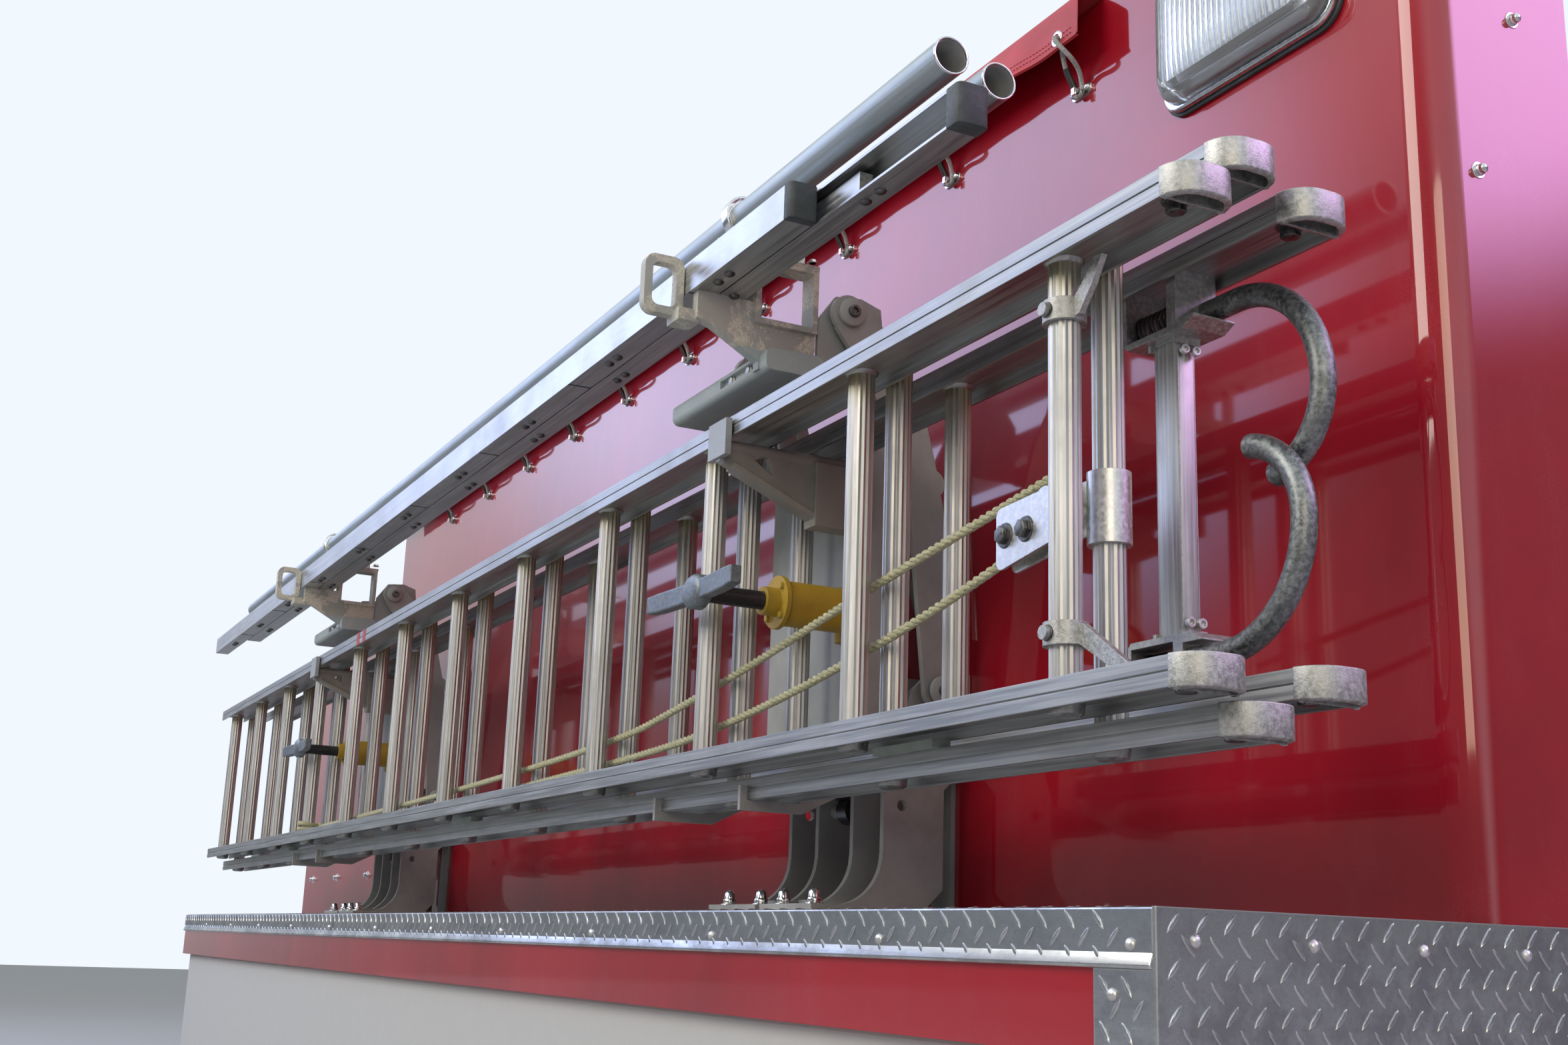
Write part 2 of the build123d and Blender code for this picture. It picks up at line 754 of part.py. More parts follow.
def roof_hook(z, y, turn_to):
    """Round bar hook: shank along X, a large bend, a tighter one and a chisel tip."""
    big_z = z + turn_to * HOOK_BIG_R
    right_x = HOOK_BEND_X + HOOK_BIG_R
    small_x = right_x - HOOK_SMALL_R
    half_turn = HOOK_BIG_R * cos(pi / 4)

    def on_small(angle):
        rise = turn_to * HOOK_SMALL_R * sin(radians(angle))
        return Vector(small_x + HOOK_SMALL_R * cos(radians(angle)), y, big_z + rise)

    start = Vector(SHANK_X, y, z)
    bend = Vector(HOOK_BEND_X, y, z)
    side = Vector(right_x, y, big_z)
    mid_big = Vector(HOOK_BEND_X + half_turn, y, big_z - turn_to * half_turn)
    tip = on_small(HOOK_TIP_TURN)
    path = Wire([
        Line(start, bend).edge(),
        ThreePointArc(bend, mid_big, side).edge(),
        ThreePointArc(side, on_small(HOOK_TIP_TURN / 2), tip).edge(),
    ])
    section = Plane(origin=start, z_dir=(1, 0, 0)) * Circle(HOOK_BAR_R)
    hook = sweep(section, path=path)
    chisel = Rot(0, turn_to * (HOOK_TIP_TURN - CHISEL_TURN), 0) * Box(*CHISEL)
    return hook - Pos(tip.X + CHISEL_SHIFT[0], y, tip.Z + turn_to * CHISEL_SHIFT[1]) * chisel


def casting_plate(outline, shank_z, side):
    """Plate across the casting, from (x from the shank's end, height to the rail's side) corners."""
    y = ROOF.plane_y
    corners = [(SHANK_X + dx, shank_z + side * rise) for dx, rise in outline]
    return xz_plate(corners, y - CASTING_WIDE / 2, y + CASTING_WIDE / 2)


def hook_casting(shank_z, web_z, side):
    """Open casting round one shank: front and rear wall, floor, rear block and saddle tabs."""
    y = ROOF.plane_y
    to_web = abs(web_z - shank_z)
    inside = -CASTING_HALF + CASTING_FLOOR
    frame = [
        (-CASTING_LONG, to_web), (-CASTING_LONG, -CASTING_HALF + CASTING_EDGE),
        (-CASTING_LONG + CASTING_EDGE, -CASTING_HALF), (0.0, -CASTING_HALF), (0.0, to_web),
    ]
    window = [
        (-CASTING_LONG + CASTING_FRONT, to_web + CUT), (-CASTING_LONG + CASTING_FRONT, inside),
        (-CASTING_REAR, inside), (-CASTING_REAR, to_web + CUT),
    ]
    block_top = -HOOK_BAR_R - BLOCK_ROOM
    block = [
        (-SINK, -CASTING_HALF), (BLOCK_LONG - BLOCK_SLOPE, -CASTING_HALF),
        (BLOCK_LONG, -CASTING_HALF + BLOCK_SLOPE / 2), (BLOCK_LONG, block_top), (-SINK, block_top),
    ]
    casting = casting_plate(frame, shank_z, side) - casting_plate(window, shank_z, side)
    casting += casting_plate(block, shank_z, side)
    floor_z = shank_z - side * CASTING_HALF
    tab_end = floor_z - side * SADDLE_TALL
    low = min(floor_z, tab_end)
    high = max(floor_z, tab_end)
    half_x = CROSSBAR_X / 2
    half_y = CROSSBAR_Y / 2 + SADDLE_WALL
    for x_from in (RUNG_X - half_x - SADDLE_WALL, RUNG_X + half_x):
        casting += box(x_from, x_from + SADDLE_WALL, y - half_y, y + half_y, low - SINK, high + SINK)
    return casting


def hook_frame():
    """Box crossbar with a sand-cast hook housing on each end."""
    y = ROOF.plane_y
    low, high = ROOF.rail_centres()
    shank_low, shank_high = hook_heights()
    half_x = CROSSBAR_X / 2
    half_y = CROSSBAR_Y / 2
    solid = hook_casting(shank_low, low + RAIL_WEB / 2, -1)
    solid += hook_casting(shank_high, high - RAIL_WEB / 2, 1)
    bar_low = shank_low + CASTING_HALF - SINK
    bar_high = shank_high - CASTING_HALF + SINK
    return solid + box(RUNG_X - half_x, RUNG_X + half_x, y - half_y, y + half_y, bar_low, bar_high)


def hook_springs():
    """Coil springs in the castings, as plain sleeves."""
    left = SHANK_X - CASTING_LONG
    solids = []
    for z in hook_heights():
        centre = (ROOF.plane_y, z)
        sleeve = x_rod(centre, left + CASTING_FRONT + SEAT_GAP, SHANK_X - CASTING_REAR - SEAT_GAP, SPRING_R)
        solids.append(sleeve - x_rod(centre, left, SHANK_X, SPRING_BORE_R))
    return group(*solids)


# Extension ladder's halyard, pulley and rung locks

ROPE_Y = (FLY.plane_y + BED.plane_y) / 2


def halyard():
    """Rope between the fly's and the bed's rungs, round the sheave and back."""
    points = [Vector(x, ROPE_Y, z) for x, z, _ in ROPE_ROUTE]
    path = FilletPolyline(*points, radius=[radius for _, _, radius in ROPE_ROUTE[1:-1]])
    section = Plane(origin=points[0], z_dir=points[1] - points[0]) * Circle(ROPE_R)
    return sweep(section, path=path)


def halyard_pulley():
    """Cheek plates, sheave and the sleeve that clamps them to the bed's first rung."""
    edge = offset_from((SHEAVE_X, SHEAVE_Z), CHEEK_EDGE)
    outer_face = ROPE_Y - CHEEK_IN - CHEEK
    pulley = xz_plate(edge, outer_face, ROPE_Y - CHEEK_IN, CHEEK_R)
    pulley += y_rod(SHEAVE_X, SHEAVE_Z, ROPE_Y - CHEEK_IN, ROPE_Y + CHEEK_IN, ROPE_WRAP_R - ROPE_R - SEAT_GAP)
    for dx in PULLEY_BOLTS:
        z = SHEAVE_Z - PULLEY_BOLT_DROP
        pulley += y_rod(SHEAVE_X + dx, z, outer_face - PULLEY_BOLT_TALL, outer_face, PULLEY_BOLT_R)
    tab = [(min(x, RUNG_X) if x < SHEAVE_X else RUNG_X, z) for x, z in edge]
    low = SHEAVE_Z - SLEEVE_LOW
    high = SHEAVE_Z + SLEEVE_HIGH
    sleeve = xz_plate(tab, ROPE_Y + CHEEK_IN, ROPE_Y + CHEEK_IN + CHEEK, CHEEK_R)
    sleeve += z_rod(RUNG_X, BED.plane_y, low, high, RUNG_R + SLEEVE_WALL)
    sleeve -= z_rod(RUNG_X, BED.plane_y, low - CUT, high + CUT, RUNG_R + RUN_FIT)
    return group(pulley, sleeve)


def rung_locks():
    """Bands on the fly's first rung with their flat arms and clamp bolts."""
    y = FLY.plane_y
    half = LOCK_TALL / 2
    outside = y - RUNG_R - LOCK_WALL
    solids = []
    for z, arm in ((LOCK_HIGH, LOCK_ARM_HIGH), (LOCK_LOW, LOCK_ARM_LOW)):
        ring = z_rod(RUNG_X, y, z - half, z + half, RUNG_R + LOCK_WALL)
        ring += y_rod(RUNG_X, z, outside - LOCK_BOLT_TALL, y, LOCK_BOLT_R)
        ring -= z_rod(RUNG_X, y, z - LOCK_TALL, z + LOCK_TALL, RUNG_R + RUN_FIT)
        outline = offset_from((RUNG_X, z), arm)
        solids.append(ring + xz_plate(outline, y - LOCK_THICK / 2, y + LOCK_THICK / 2))
    return group(*solids)


# Rack: base on the ledge

LINK_FOOT = (ARM_PIVOT[0] + LINK_OFFSET[0], ARM_PIVOT[1] + LINK_OFFSET[1])
LINK_HEAD = (CARRIER_PIVOT[0] + LINK_OFFSET[0], CARRIER_PIVOT[1] + LINK_OFFSET[1])


def gusset(x_from, x_to):
    """Upright plate of the base, with its flared toe."""
    z_foot = LEDGE_Z + FOOT_TALL
    back = WALL_Y - BASE_BACK
    head = ARM_PIVOT[1] + GUSSET_ROUND
    neck_low, neck_high = GUSSET_NECK
    outline = [
        (GUSSET_FRONT, z_foot), (GUSSET_BACK, z_foot), (GUSSET_BACK, neck_low), (back, neck_high),
        (back, head), (ARM_PIVOT[0], head), (ARM_PIVOT[0] - GUSSET_ROUND, ARM_PIVOT[1]),
        (GUSSET_FRONT, GUSSET_TALL),
    ]
    toe_tip = GUSSET_FRONT - FLARE_R
    flare = [(toe_tip, z_foot), (GUSSET_FRONT + SINK, z_foot), (GUSSET_FRONT + SINK, z_foot + FLARE_R)]
    toe = yz_plate(flare, x_from, x_to)
    toe -= x_rod((toe_tip, z_foot + FLARE_R), x_from - CUT, x_to + CUT, FLARE_R - CUT / 2)
    return yz_plate(outline, x_from, x_to) + toe


def wall_strip(x_from, x_to):
    """Strip that ties a base to the wall."""
    return box(x_from, x_to, WALL_Y - STRIP_THICK, WALL_Y, LEDGE_Z, STRIP_TALL)


def rack_base(station):
    """Foot plate, four flared gussets, wall strips and the fixed pins."""
    z_foot = LEDGE_Z + FOOT_TALL
    body = both_sides(
        station, FOOT_SPLIT, FOOT_OUT, lambda a, b: box(a, b, FOOT_FRONT, GUSSET_BACK, LEDGE_Z, z_foot),
    )
    toe_tip = GUSSET_FRONT - FLARE_R
    body += both_sides(
        station, GUSSET_IN - PAD_SIDE, GUSSET_IN + RACK_PLATE + PAD_SIDE,
        lambda a, b: box(a, b, toe_tip, GUSSET_BACK, z_foot - SINK, z_foot + PAD_TALL),
    )
    for inner in (GUSSET_IN, GUSSET_OUT):
        body += both_sides(station, inner, inner + RACK_PLATE, gusset)
    rear = GUSSET_BACK + CUT
    corner = [(rear, z_foot), (rear, z_foot + GUSSET_EDGE), (rear - GUSSET_EDGE, z_foot)]
    cut_from = GUSSET_OUT - CUT
    cut_to = MAST_HALF + CUT
    body -= both_sides(station, cut_from, cut_to, lambda a, b: yz_plate(corner, a, b))
    body -= both_sides(station, cut_from, cut_to, lambda a, b: x_rod(RAM_FOOT, a, b, GUSSET_HOLE_R))
    strip_in = GUSSET_IN + RACK_PLATE / 2
    body += both_sides(station, strip_in, strip_in + STRIP_WIDE, wall_strip)
    pin_out = ARM_IN + RACK_PLATE + PIN_HEAD
    body += both_sides(station, GUSSET_OUT + SINK, pin_out, lambda a, b: x_rod(ARM_PIVOT, a, b, PIN_R))
    link_out = GUSSET_OUT + SINK
    body += both_sides(station, GUSSET_IN, link_out, lambda a, b: x_rod(LINK_FOOT, a, b, LINK_PIN_R))
    return body + x_rod(RAM_FOOT, station - GUSSET_IN - SINK, station + GUSSET_IN + SINK, RAM_PIN_R)


# Rack: moving linkage


def arm_outline():
    """C shape between the arms' two pivots."""
    run = (CARRIER_PIVOT[0] - ARM_PIVOT[0], CARRIER_PIVOT[1] - ARM_PIVOT[1])
    length = hypot(*run)
    aside = (run[1] / length, -run[0] / length)
    return [
        (
            ARM_PIVOT[0] + run[0] * share + aside[0] * offset,
            ARM_PIVOT[1] + run[1] * share + aside[1] * offset,
        )
        for share, offset in ARM_EDGE
    ]


def swing_arm(x_from, x_to):
    """One C-shaped arm with its eyes."""
    plate = yz_plate(arm_outline(), x_from, x_to)
    plate += x_rod(ARM_PIVOT, x_from, x_to, ARM_EYE_R)
    plate += x_rod(CARRIER_PIVOT, x_from, x_to, ARM_HEAD_R)
    plate += x_rod(RAM_EYE, x_from, x_to, RAM_BOSS_R)
    for pivot in (ARM_PIVOT, CARRIER_PIVOT):
        plate -= x_rod(pivot, x_from - CUT, x_to + CUT, PIN_R + RUN_FIT)
    return plate


def swing_arms(station):
    """Pair of arms, with the studs that hold the ram's eye."""
    arms = both_sides(station, ARM_IN, ARM_IN + RACK_PLATE, swing_arm)
    stud_r = RAM_PIN_R - SINK
    return arms + both_sides(station, RAM_STUD_IN, ARM_IN + SINK, lambda a, b: x_rod(RAM_EYE, a, b, stud_r))


def level_link(x_from, x_to):
    """Bar between the two link pivots."""
    run = (LINK_HEAD[0] - LINK_FOOT[0], LINK_HEAD[1] - LINK_FOOT[1])
    length = hypot(*run)
    side = (run[1] / length * LINK_HALF, -run[0] / length * LINK_HALF)
    outline = [
        (LINK_FOOT[0] - side[0], LINK_FOOT[1] - side[1]), (LINK_FOOT[0] + side[0], LINK_FOOT[1] + side[1]),
        (LINK_HEAD[0] + side[0], LINK_HEAD[1] + side[1]), (LINK_HEAD[0] - side[0], LINK_HEAD[1] - side[1]),
    ]
    bar = yz_plate(outline, x_from, x_to)
    for centre in (LINK_FOOT, LINK_HEAD):
        bar += x_rod(centre, x_from, x_to, LINK_EYE_R)
        bar -= x_rod(centre, x_from - CUT, x_to + CUT, LINK_PIN_R + RUN_FIT)
    return bar


def level_links(station):
    """Pair of bars beside the arms that keep the carrier upright."""
    return group(both_sides(station, LINK_IN, LINK_IN + RACK_PLATE, level_link))


def ram_plane(station):
    """Plane at the ram's foot whose Z runs up the ram."""
    return Plane(
        origin=(station, RAM_FOOT[0], RAM_FOOT[1]), x_dir=(1, 0, 0),
        z_dir=(0, RAM_EYE[0] - RAM_FOOT[0], RAM_EYE[1] - RAM_FOOT[1]),
    )


def lift_barrel(station):
    """Barrel of the ram, with its foot eye and an open bore."""
    barrel = Pos(0, 0, (BARREL_LOW + RAM_BARREL) / 2) * Cylinder(BARREL_R, RAM_BARREL - BARREL_LOW)
    bore_long = RAM_BARREL + CUT - BORE_LOW
    barrel -= Pos(0, 0, BORE_LOW + bore_long / 2) * Cylinder(ROD_R + RUN_FIT, bore_long)
    eye = Rot(0, 90, 0) * Cylinder(FOOT_EYE_R, FOOT_EYE_WIDE)
    solid = ram_plane(station) * (barrel + eye)
    return solid - x_rod(RAM_FOOT, station - BARREL_R, station + BARREL_R, RAM_PIN_R + RUN_FIT)


def lift_rod(station):
    """Polished rod of the ram with its eye."""
    top = hypot(RAM_EYE[0] - RAM_FOOT[0], RAM_EYE[1] - RAM_FOOT[1])
    rod = Pos(0, 0, (ROD_LOW + top) / 2) * Cylinder(ROD_R, top - ROD_LOW)
    eye = Pos(0, 0, top) * Rot(0, 90, 0) * Cylinder(ROD_EYE_R, ROD_EYE_WIDE)
    hole = Pos(0, 0, top) * Rot(0, 90, 0) * Cylinder(RAM_PIN_R, ROD_EYE_WIDE + CUT)
    return ram_plane(station) * (rod + eye - hole)


# Rack: carrier


def mast(station):
    """Folded channel behind the ladders, with the lugs that ride on the arms."""
    web = box(
        station - MAST_HALF, station + MAST_HALF, MAST_FRONT, MAST_FRONT + MAST_SHEET, MAST_LOW, MAST_HIGH,
    )
    lug = [
        (MAST_FRONT, MAST_LOW), (MAST_BACK, MAST_LOW), (MAST_BACK, CARRIER_PIVOT[1] - LUG_BACK_DROP),
        *offset_from(CARRIER_PIVOT, LUG_EDGE), (MAST_FRONT, CARRIER_PIVOT[1] - LUG_DROP),
    ]
    cheek_in = MAST_HALF - MAST_SHEET
    arm_out = ARM_IN + RACK_PLATE
    solid = web + both_sides(station, cheek_in, MAST_HALF, lambda a, b: yz_plate(lug, a, b))
    solid += both_sides(station, cheek_in, arm_out + SINK, lambda a, b: x_rod(CARRIER_PIVOT, a, b, PIN_R))
    solid += both_sides(
        station, arm_out + SEAT_GAP, arm_out + PIN_HEAD,
        lambda a, b: x_rod(CARRIER_PIVOT, a, b, PIN_R + PIN_HEAD),
    )
    return solid + both_sides(
        station, LINK_IN - 3 * SINK, cheek_in + SINK, lambda a, b: x_rod(LINK_HEAD, a, b, LINK_PIN_R),
    )


def upper_cradle(station):
    """Bracket plate, rod and lip that the ladders' upper rails hang on."""
    x = station + CRADLE_X
    half = CRADLE_WIDE / 2
    seat = FLY.high_z - RAIL_TALL - SEAT_GAP
    lip_y = FLY.plane_y - RAIL_DEEP / 2 - LIP_GAP
    outline = offset_from((lip_y, seat), CRADLE_EDGE)
    outline += [(MAST_FRONT, seat + drop) for drop in CRADLE_ROOT]
    plate = yz_plate(outline, x - half, x + half)
    window = offset_from((lip_y, seat), CRADLE_WINDOW)
    plate -= yz_plate(window, x - half - CUT, x + half + CUT)
    lower = offset_from((lip_y, seat), CRADLE_EDGE[2:4])
    flange = lower + [(y, z + CRADLE_FLANGE_TALL) for y, z in reversed(lower)]
    plate += yz_plate(flange, x - CRADLE_FLANGE, x + CRADLE_FLANGE)
    root_low, root_high = CRADLE_ROOT
    plate += box(
        x - CRADLE_BOX_HALF, x + CRADLE_BOX_HALF, lip_y + CRADLE_BOX, MAST_FRONT,
        seat + root_low, seat + root_high,
    )
    plate += y_rod(x, seat - CRADLE_ROD_R, lip_y, MAST_FRONT, CRADLE_ROD_R)
    return plate + box(
        x - LIP_HALF, x + LIP_HALF, lip_y - LIP_THICK, lip_y, seat - LIP_DOWN, seat + LIP_UP,
    )


def lower_cradle(station):
    """Stepped arms under the bed's and the roof ladder's lower rails."""
    hook_in = BED.plane_y - RAIL_DEEP / 2 - LIP_GAP
    hook_out = hook_in - LIP_THICK
    step_y = ROOF.plane_y - RAIL_DEEP / 2 - ARM_STEP
    roof_seat = ROOF.low_z - SEAT_GAP
    bed_seat = BED.low_z - SEAT_GAP
    outline = [
        (MAST_FRONT, roof_seat), (step_y, roof_seat), (step_y, bed_seat), (hook_in, bed_seat),
        (hook_in, bed_seat + ARM_HOOK_TALL), (hook_out, bed_seat + ARM_HOOK_TALL),
        (hook_out, bed_seat - ARM_THICK), (step_y + ARM_STEP / 2, bed_seat - ARM_THICK),
        (step_y + ARM_HAUNCH, bed_seat + ARM_STEP), (MAST_FRONT, MAST_LOW),
    ]
    return group(both_sides(station, MAST_HALF - MAST_SHEET, MAST_HALF, lambda a, b: yz_plate(outline, a, b)))


def square_frame(x):
    """Open square frame and the saddle under the tubes."""
    front = ATTIC_FRONT + FRAME_FRONT
    back = ATTIC_FRONT + FRAME_BACK
    low = ATTIC_Z - FRAME_DROP
    high = TUBE_Z - TUBE_R - STRAP_ROOM - SADDLE_TALL
    bar = FRAME_BAR
    frame = box(x - FRAME_HALF, x + FRAME_HALF, front, back, low, high)
    frame -= box(
        x - FRAME_HALF - CUT, x + FRAME_HALF + CUT, front + bar, back - bar, low + bar, high - bar,
    )
    saddle_front = TUBE_Y[0] - STRAP_FOOT / 2
    saddle_back = TUBE_Y[1] + 2 * STRAP_HALF + STRAP_FOOT
    return frame + box(
        x - SADDLE_HALF, x + SADDLE_HALF, saddle_front, saddle_back, high, high + SADDLE_TALL,
    )


def latch_loop(x):
    """Open loop beside the attic ladder, on its foot."""
    x_from = x - LATCH_X[0]
    x_to = x - LATCH_X[1]
    front = ATTIC_FRONT - LATCH_FRONT
    back = ATTIC_FRONT - LATCH_BACK
    low = ATTIC_Z - LATCH_DROP
    high = low + LATCH_TALL
    bar = LATCH_BAR
    loop = box(x_from, x_to, front, back, low, high)
    loop = fillet(loop.edges().filter_by(Axis.X), LATCH_R)
    hole = box(x_from - CUT, x_to + CUT, front + bar, back - bar, low + bar, high - bar)
    loop -= fillet(hole.edges().filter_by(Axis.X), LATCH_R - bar / 2)
    return loop + box(x_from, x, back - LATCH_FOOT, back + LATCH_FOOT, low - bar, low + bar / 2)


def top_bracket(station):
    """Sand-cast block and neck over the ladders, with the square frame and the latch loop."""
    x = station + CRADLE_X
    back = CARRIER_PIVOT[0] + LUG_EDGE[-1][0]
    low = CARRIER_PIVOT[1] - LUG_DROP
    front = back - BLOCK_DEEP
    block = box(station - BLOCK_LEFT, station + BLOCK_RIGHT, front, back, low, low + BLOCK_TALL)
    block = fillet(block.edges().filter_by(Axis.X), BLOCK_R)
    recess_from, recess_to, recess_half, recess_deep = RECESS
    middle = low + BLOCK_TALL / 2
    block -= box(
        station + recess_from, station + recess_to, front - CUT, front + recess_deep,
        middle - recess_half, middle + recess_half,
    )
    neck = yz_plate(offset_from((ATTIC_FRONT, ATTIC_Z), NECK_EDGE), x - NECK_HALF, x + NECK_HALF)
    return block + neck + square_frame(x) + latch_loop(x)


def clamp_housing(station):
    """Round housing of the ladder clamp, bolted to the mast between the rungs."""
    x = station + CLAMP_X
    foot = HOUSING_FOOT
    shell = y_rod(x, CLAMP_Z, HOUSING_FRONT, MAST_FRONT, HOUSING_R)
    shell += y_rod(x, CLAMP_Z, HOUSING_FRONT, HOUSING_FRONT + HOUSING_FLANGE, HOUSING_FLANGE_R)
    shell += box(
        x - foot, station + MAST_HALF, MAST_FRONT - HOUSING_FOOT_THICK, MAST_FRONT,
        CLAMP_Z - foot, CLAMP_Z + foot,
    )
    collar_front = HOUSING_FRONT - COLLAR_LONG
    shell += y_rod(x, CLAMP_Z, collar_front, HOUSING_FRONT, COLLAR_R)
    reach = (HOUSING_FLANGE_R + COLLAR_R) / 2
    for i in range(FLANGE_BOLTS):
        turn = 2 * pi * (i + 0.5) / FLANGE_BOLTS
        bolt = (x + reach * cos(turn), CLAMP_Z + reach * sin(turn))
        shell += y_rod(*bolt, HOUSING_FRONT - FLANGE_BOLT_R, HOUSING_FRONT, FLANGE_BOLT_R)
    return shell - y_rod(x, CLAMP_Z, collar_front - CUT, SHAFT_BACK + CUT, SHAFT_R + RUN_FIT)


def clamp_handle(station):
    """T handle across the ladders and its shaft."""
    x = station + CLAMP_X
    back = CLAMP_BAR_FRONT + CLAMP_BAR_DEEP
    bar = box(
        x - CLAMP_BAR / 2, x + CLAMP_BAR / 2, CLAMP_BAR_FRONT, back,
        CLAMP_Z - CLAMP_BAR_HALF, CLAMP_Z + CLAMP_BAR_HALF,
    )
    bar = fillet(bar.edges().filter_by(Axis.Y), CLAMP_BAR_R)
    return bar + y_rod(x, CLAMP_Z, back - SHAFT_LAP, SHAFT_BACK, SHAFT_R)


# Attic ladder and pole tubes on top


def attic_places():
    """(right end, front face) of the attic ladder's two beams."""
    return [(ATTIC_RIGHT + i * ATTIC_SHIFT, ATTIC_FRONT + i * (ATTIC_DEEP + ATTIC_GAP)) for i in (0, 1)]


def attic_beams():
    """The folded attic ladder's two channels, open towards each other, one shifted along."""
    low = ATTIC_Z + ATTIC_FLOOR
    high = ATTIC_Z + ATTIC_TALL - ATTIC_FLOOR
    solids = []
    for turned, (right, front) in enumerate(attic_places()):
        left = right - ATTIC_LONG
        beam = box(left, right, front, front + ATTIC_DEEP, ATTIC_Z, ATTIC_Z + ATTIC_TALL)
        open_from = front - CUT if turned else front + ATTIC_SIDE
        open_to = front + ATTIC_DEEP - ATTIC_SIDE if turned else front + ATTIC_DEEP + CUT
        solids.append(beam - box(left, right, open_from, open_to, low, high))
    return group(*solids)


def attic_rungs():
    """Folded rungs inside the beams' channels."""
    solids = []
    for right, front in attic_places():
        middle = front + ATTIC_DEEP / 2
        solids.append(box(
            right - ATTIC_LONG + ATTIC_RUNG_END, right - ATTIC_RUNG_END,
            middle - ATTIC_RUNG_HALF, middle + ATTIC_RUNG_HALF,
            ATTIC_Z + ATTIC_FLOOR, ATTIC_Z + ATTIC_TALL - ATTIC_RUNG_HALF,
        ))
    return group(*solids)


def attic_caps():
    """Rubber end caps of the attic ladder's beams."""
    solids = []
    for right, front in attic_places():
        cap = box(
            right, right + ATTIC_CAP_LONG, front - ATTIC_GAP / 2, front + ATTIC_DEEP + ATTIC_GAP / 2,
            ATTIC_Z - ATTIC_GAP / 2, ATTIC_Z + ATTIC_TALL + ATTIC_GAP / 2,
        )
        solids.append(fillet(cap.edges().filter_by(Axis.Z).sort_by(Axis.X)[-2:], ATTIC_CAP_R))
    return group(*solids)


def pole_tubes():
    """Two open thin-walled tubes."""
    solids = []
    for y, right in zip(TUBE_Y, TUBE_RIGHT):
        tube = x_rod((y, TUBE_Z), TUBE_LEFT, right, TUBE_R)
        solids.append(tube - x_rod((y, TUBE_Z), TUBE_LEFT - CUT, right + CUT, TUBE_R - TUBE_WALL))
    return group(*solids)


def tube_straps():
    """Clamp bands that hold the tubes on the saddles of the top brackets."""
    foot_z = TUBE_Z - TUBE_R - STRAP_ROOM
    solids = []
    for station in STATIONS:
        x = station + CRADLE_X
        left = x - STRAP_HALF
        right = x + STRAP_HALF
        for y in TUBE_Y:
            band = x_rod((y, TUBE_Z), left, right, TUBE_R + STRAP_WALL)
            band += box(left, right, y - STRAP_FOOT, y + STRAP_FOOT, foot_z, TUBE_Z)
            solids.append(band - x_rod((y, TUBE_Z), left - CUT, right + CUT, TUBE_R + RUN_FIT))
    return group(*solids)


NODES = {
    "header_beam": header_beam,
    "ledge_cap": ledge_cap,
    "ledge_corner": ledge_corner,
    "wall_skin": wall_skin,
    "wall_liner": wall_liner,
    "cover_flap": cover_flap,
    "cover_hooks": cover_hooks,
    "shock_loops": shock_loops,
    "scene_light": scene_light,
    "scene_light_lens": scene_light_lens,
    "rail_guides": rail_guides,
    "hook_frame": hook_frame,
    "hook_springs": hook_springs,
    "roof_hook_lower": lambda: roof_hook(hook_heights()[0], hook_planes()[0], 1),
    "roof_hook_upper": lambda: roof_hook(hook_heights()[1], hook_planes()[1], -1),
    "halyard": halyard,
    "halyard_pulley": halyard_pulley,
    "rung_locks": rung_locks,
    "attic_beams": attic_beams,
    "attic_rungs": attic_rungs,
    "attic_caps": attic_caps,
    "pole_tubes": pole_tubes,
    "tube_straps": tube_straps,
}
for ladder in (FLY, BED, ROOF):
    NODES[ladder.name + "_rails"] = lambda ladder=ladder: ladder_rails(ladder)
    NODES[ladder.name + "_rungs"] = lambda ladder=ladder: ladder_rungs(ladder)
    NODES[ladder.name + "_caps"] = lambda ladder=ladder: ladder_caps(ladder)

STATION_NODES = (
    rack_base, swing_arms, level_links, lift_barrel, lift_rod, mast, upper_cradle, lower_cradle,
    top_bracket, clamp_housing, clamp_handle,
)
for number, place in enumerate(STATIONS, start=1):
    for make in STATION_NODES:
        NODES[f"{make.__name__}_{number}"] = lambda make=make, place=place: make(place)

os.makedirs("parts", exist_ok=True)
for name, build in NODES.items():
    export_step(build(), f"parts/{name}.step")
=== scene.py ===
"""Looks of a fire engine's upper body side with its folding ladder rack.

Metres. +X runs to the vehicle's rear, -Y is the ladder side, +Z is up.
"""

import json
import logging
from dataclasses import dataclass
from enum import Enum
from math import cos, pi, radians, sin
from typing import Callable, Iterable, Sequence, Union

import bmesh
import bpy
from mathutils import Matrix, Quaternion, Vector


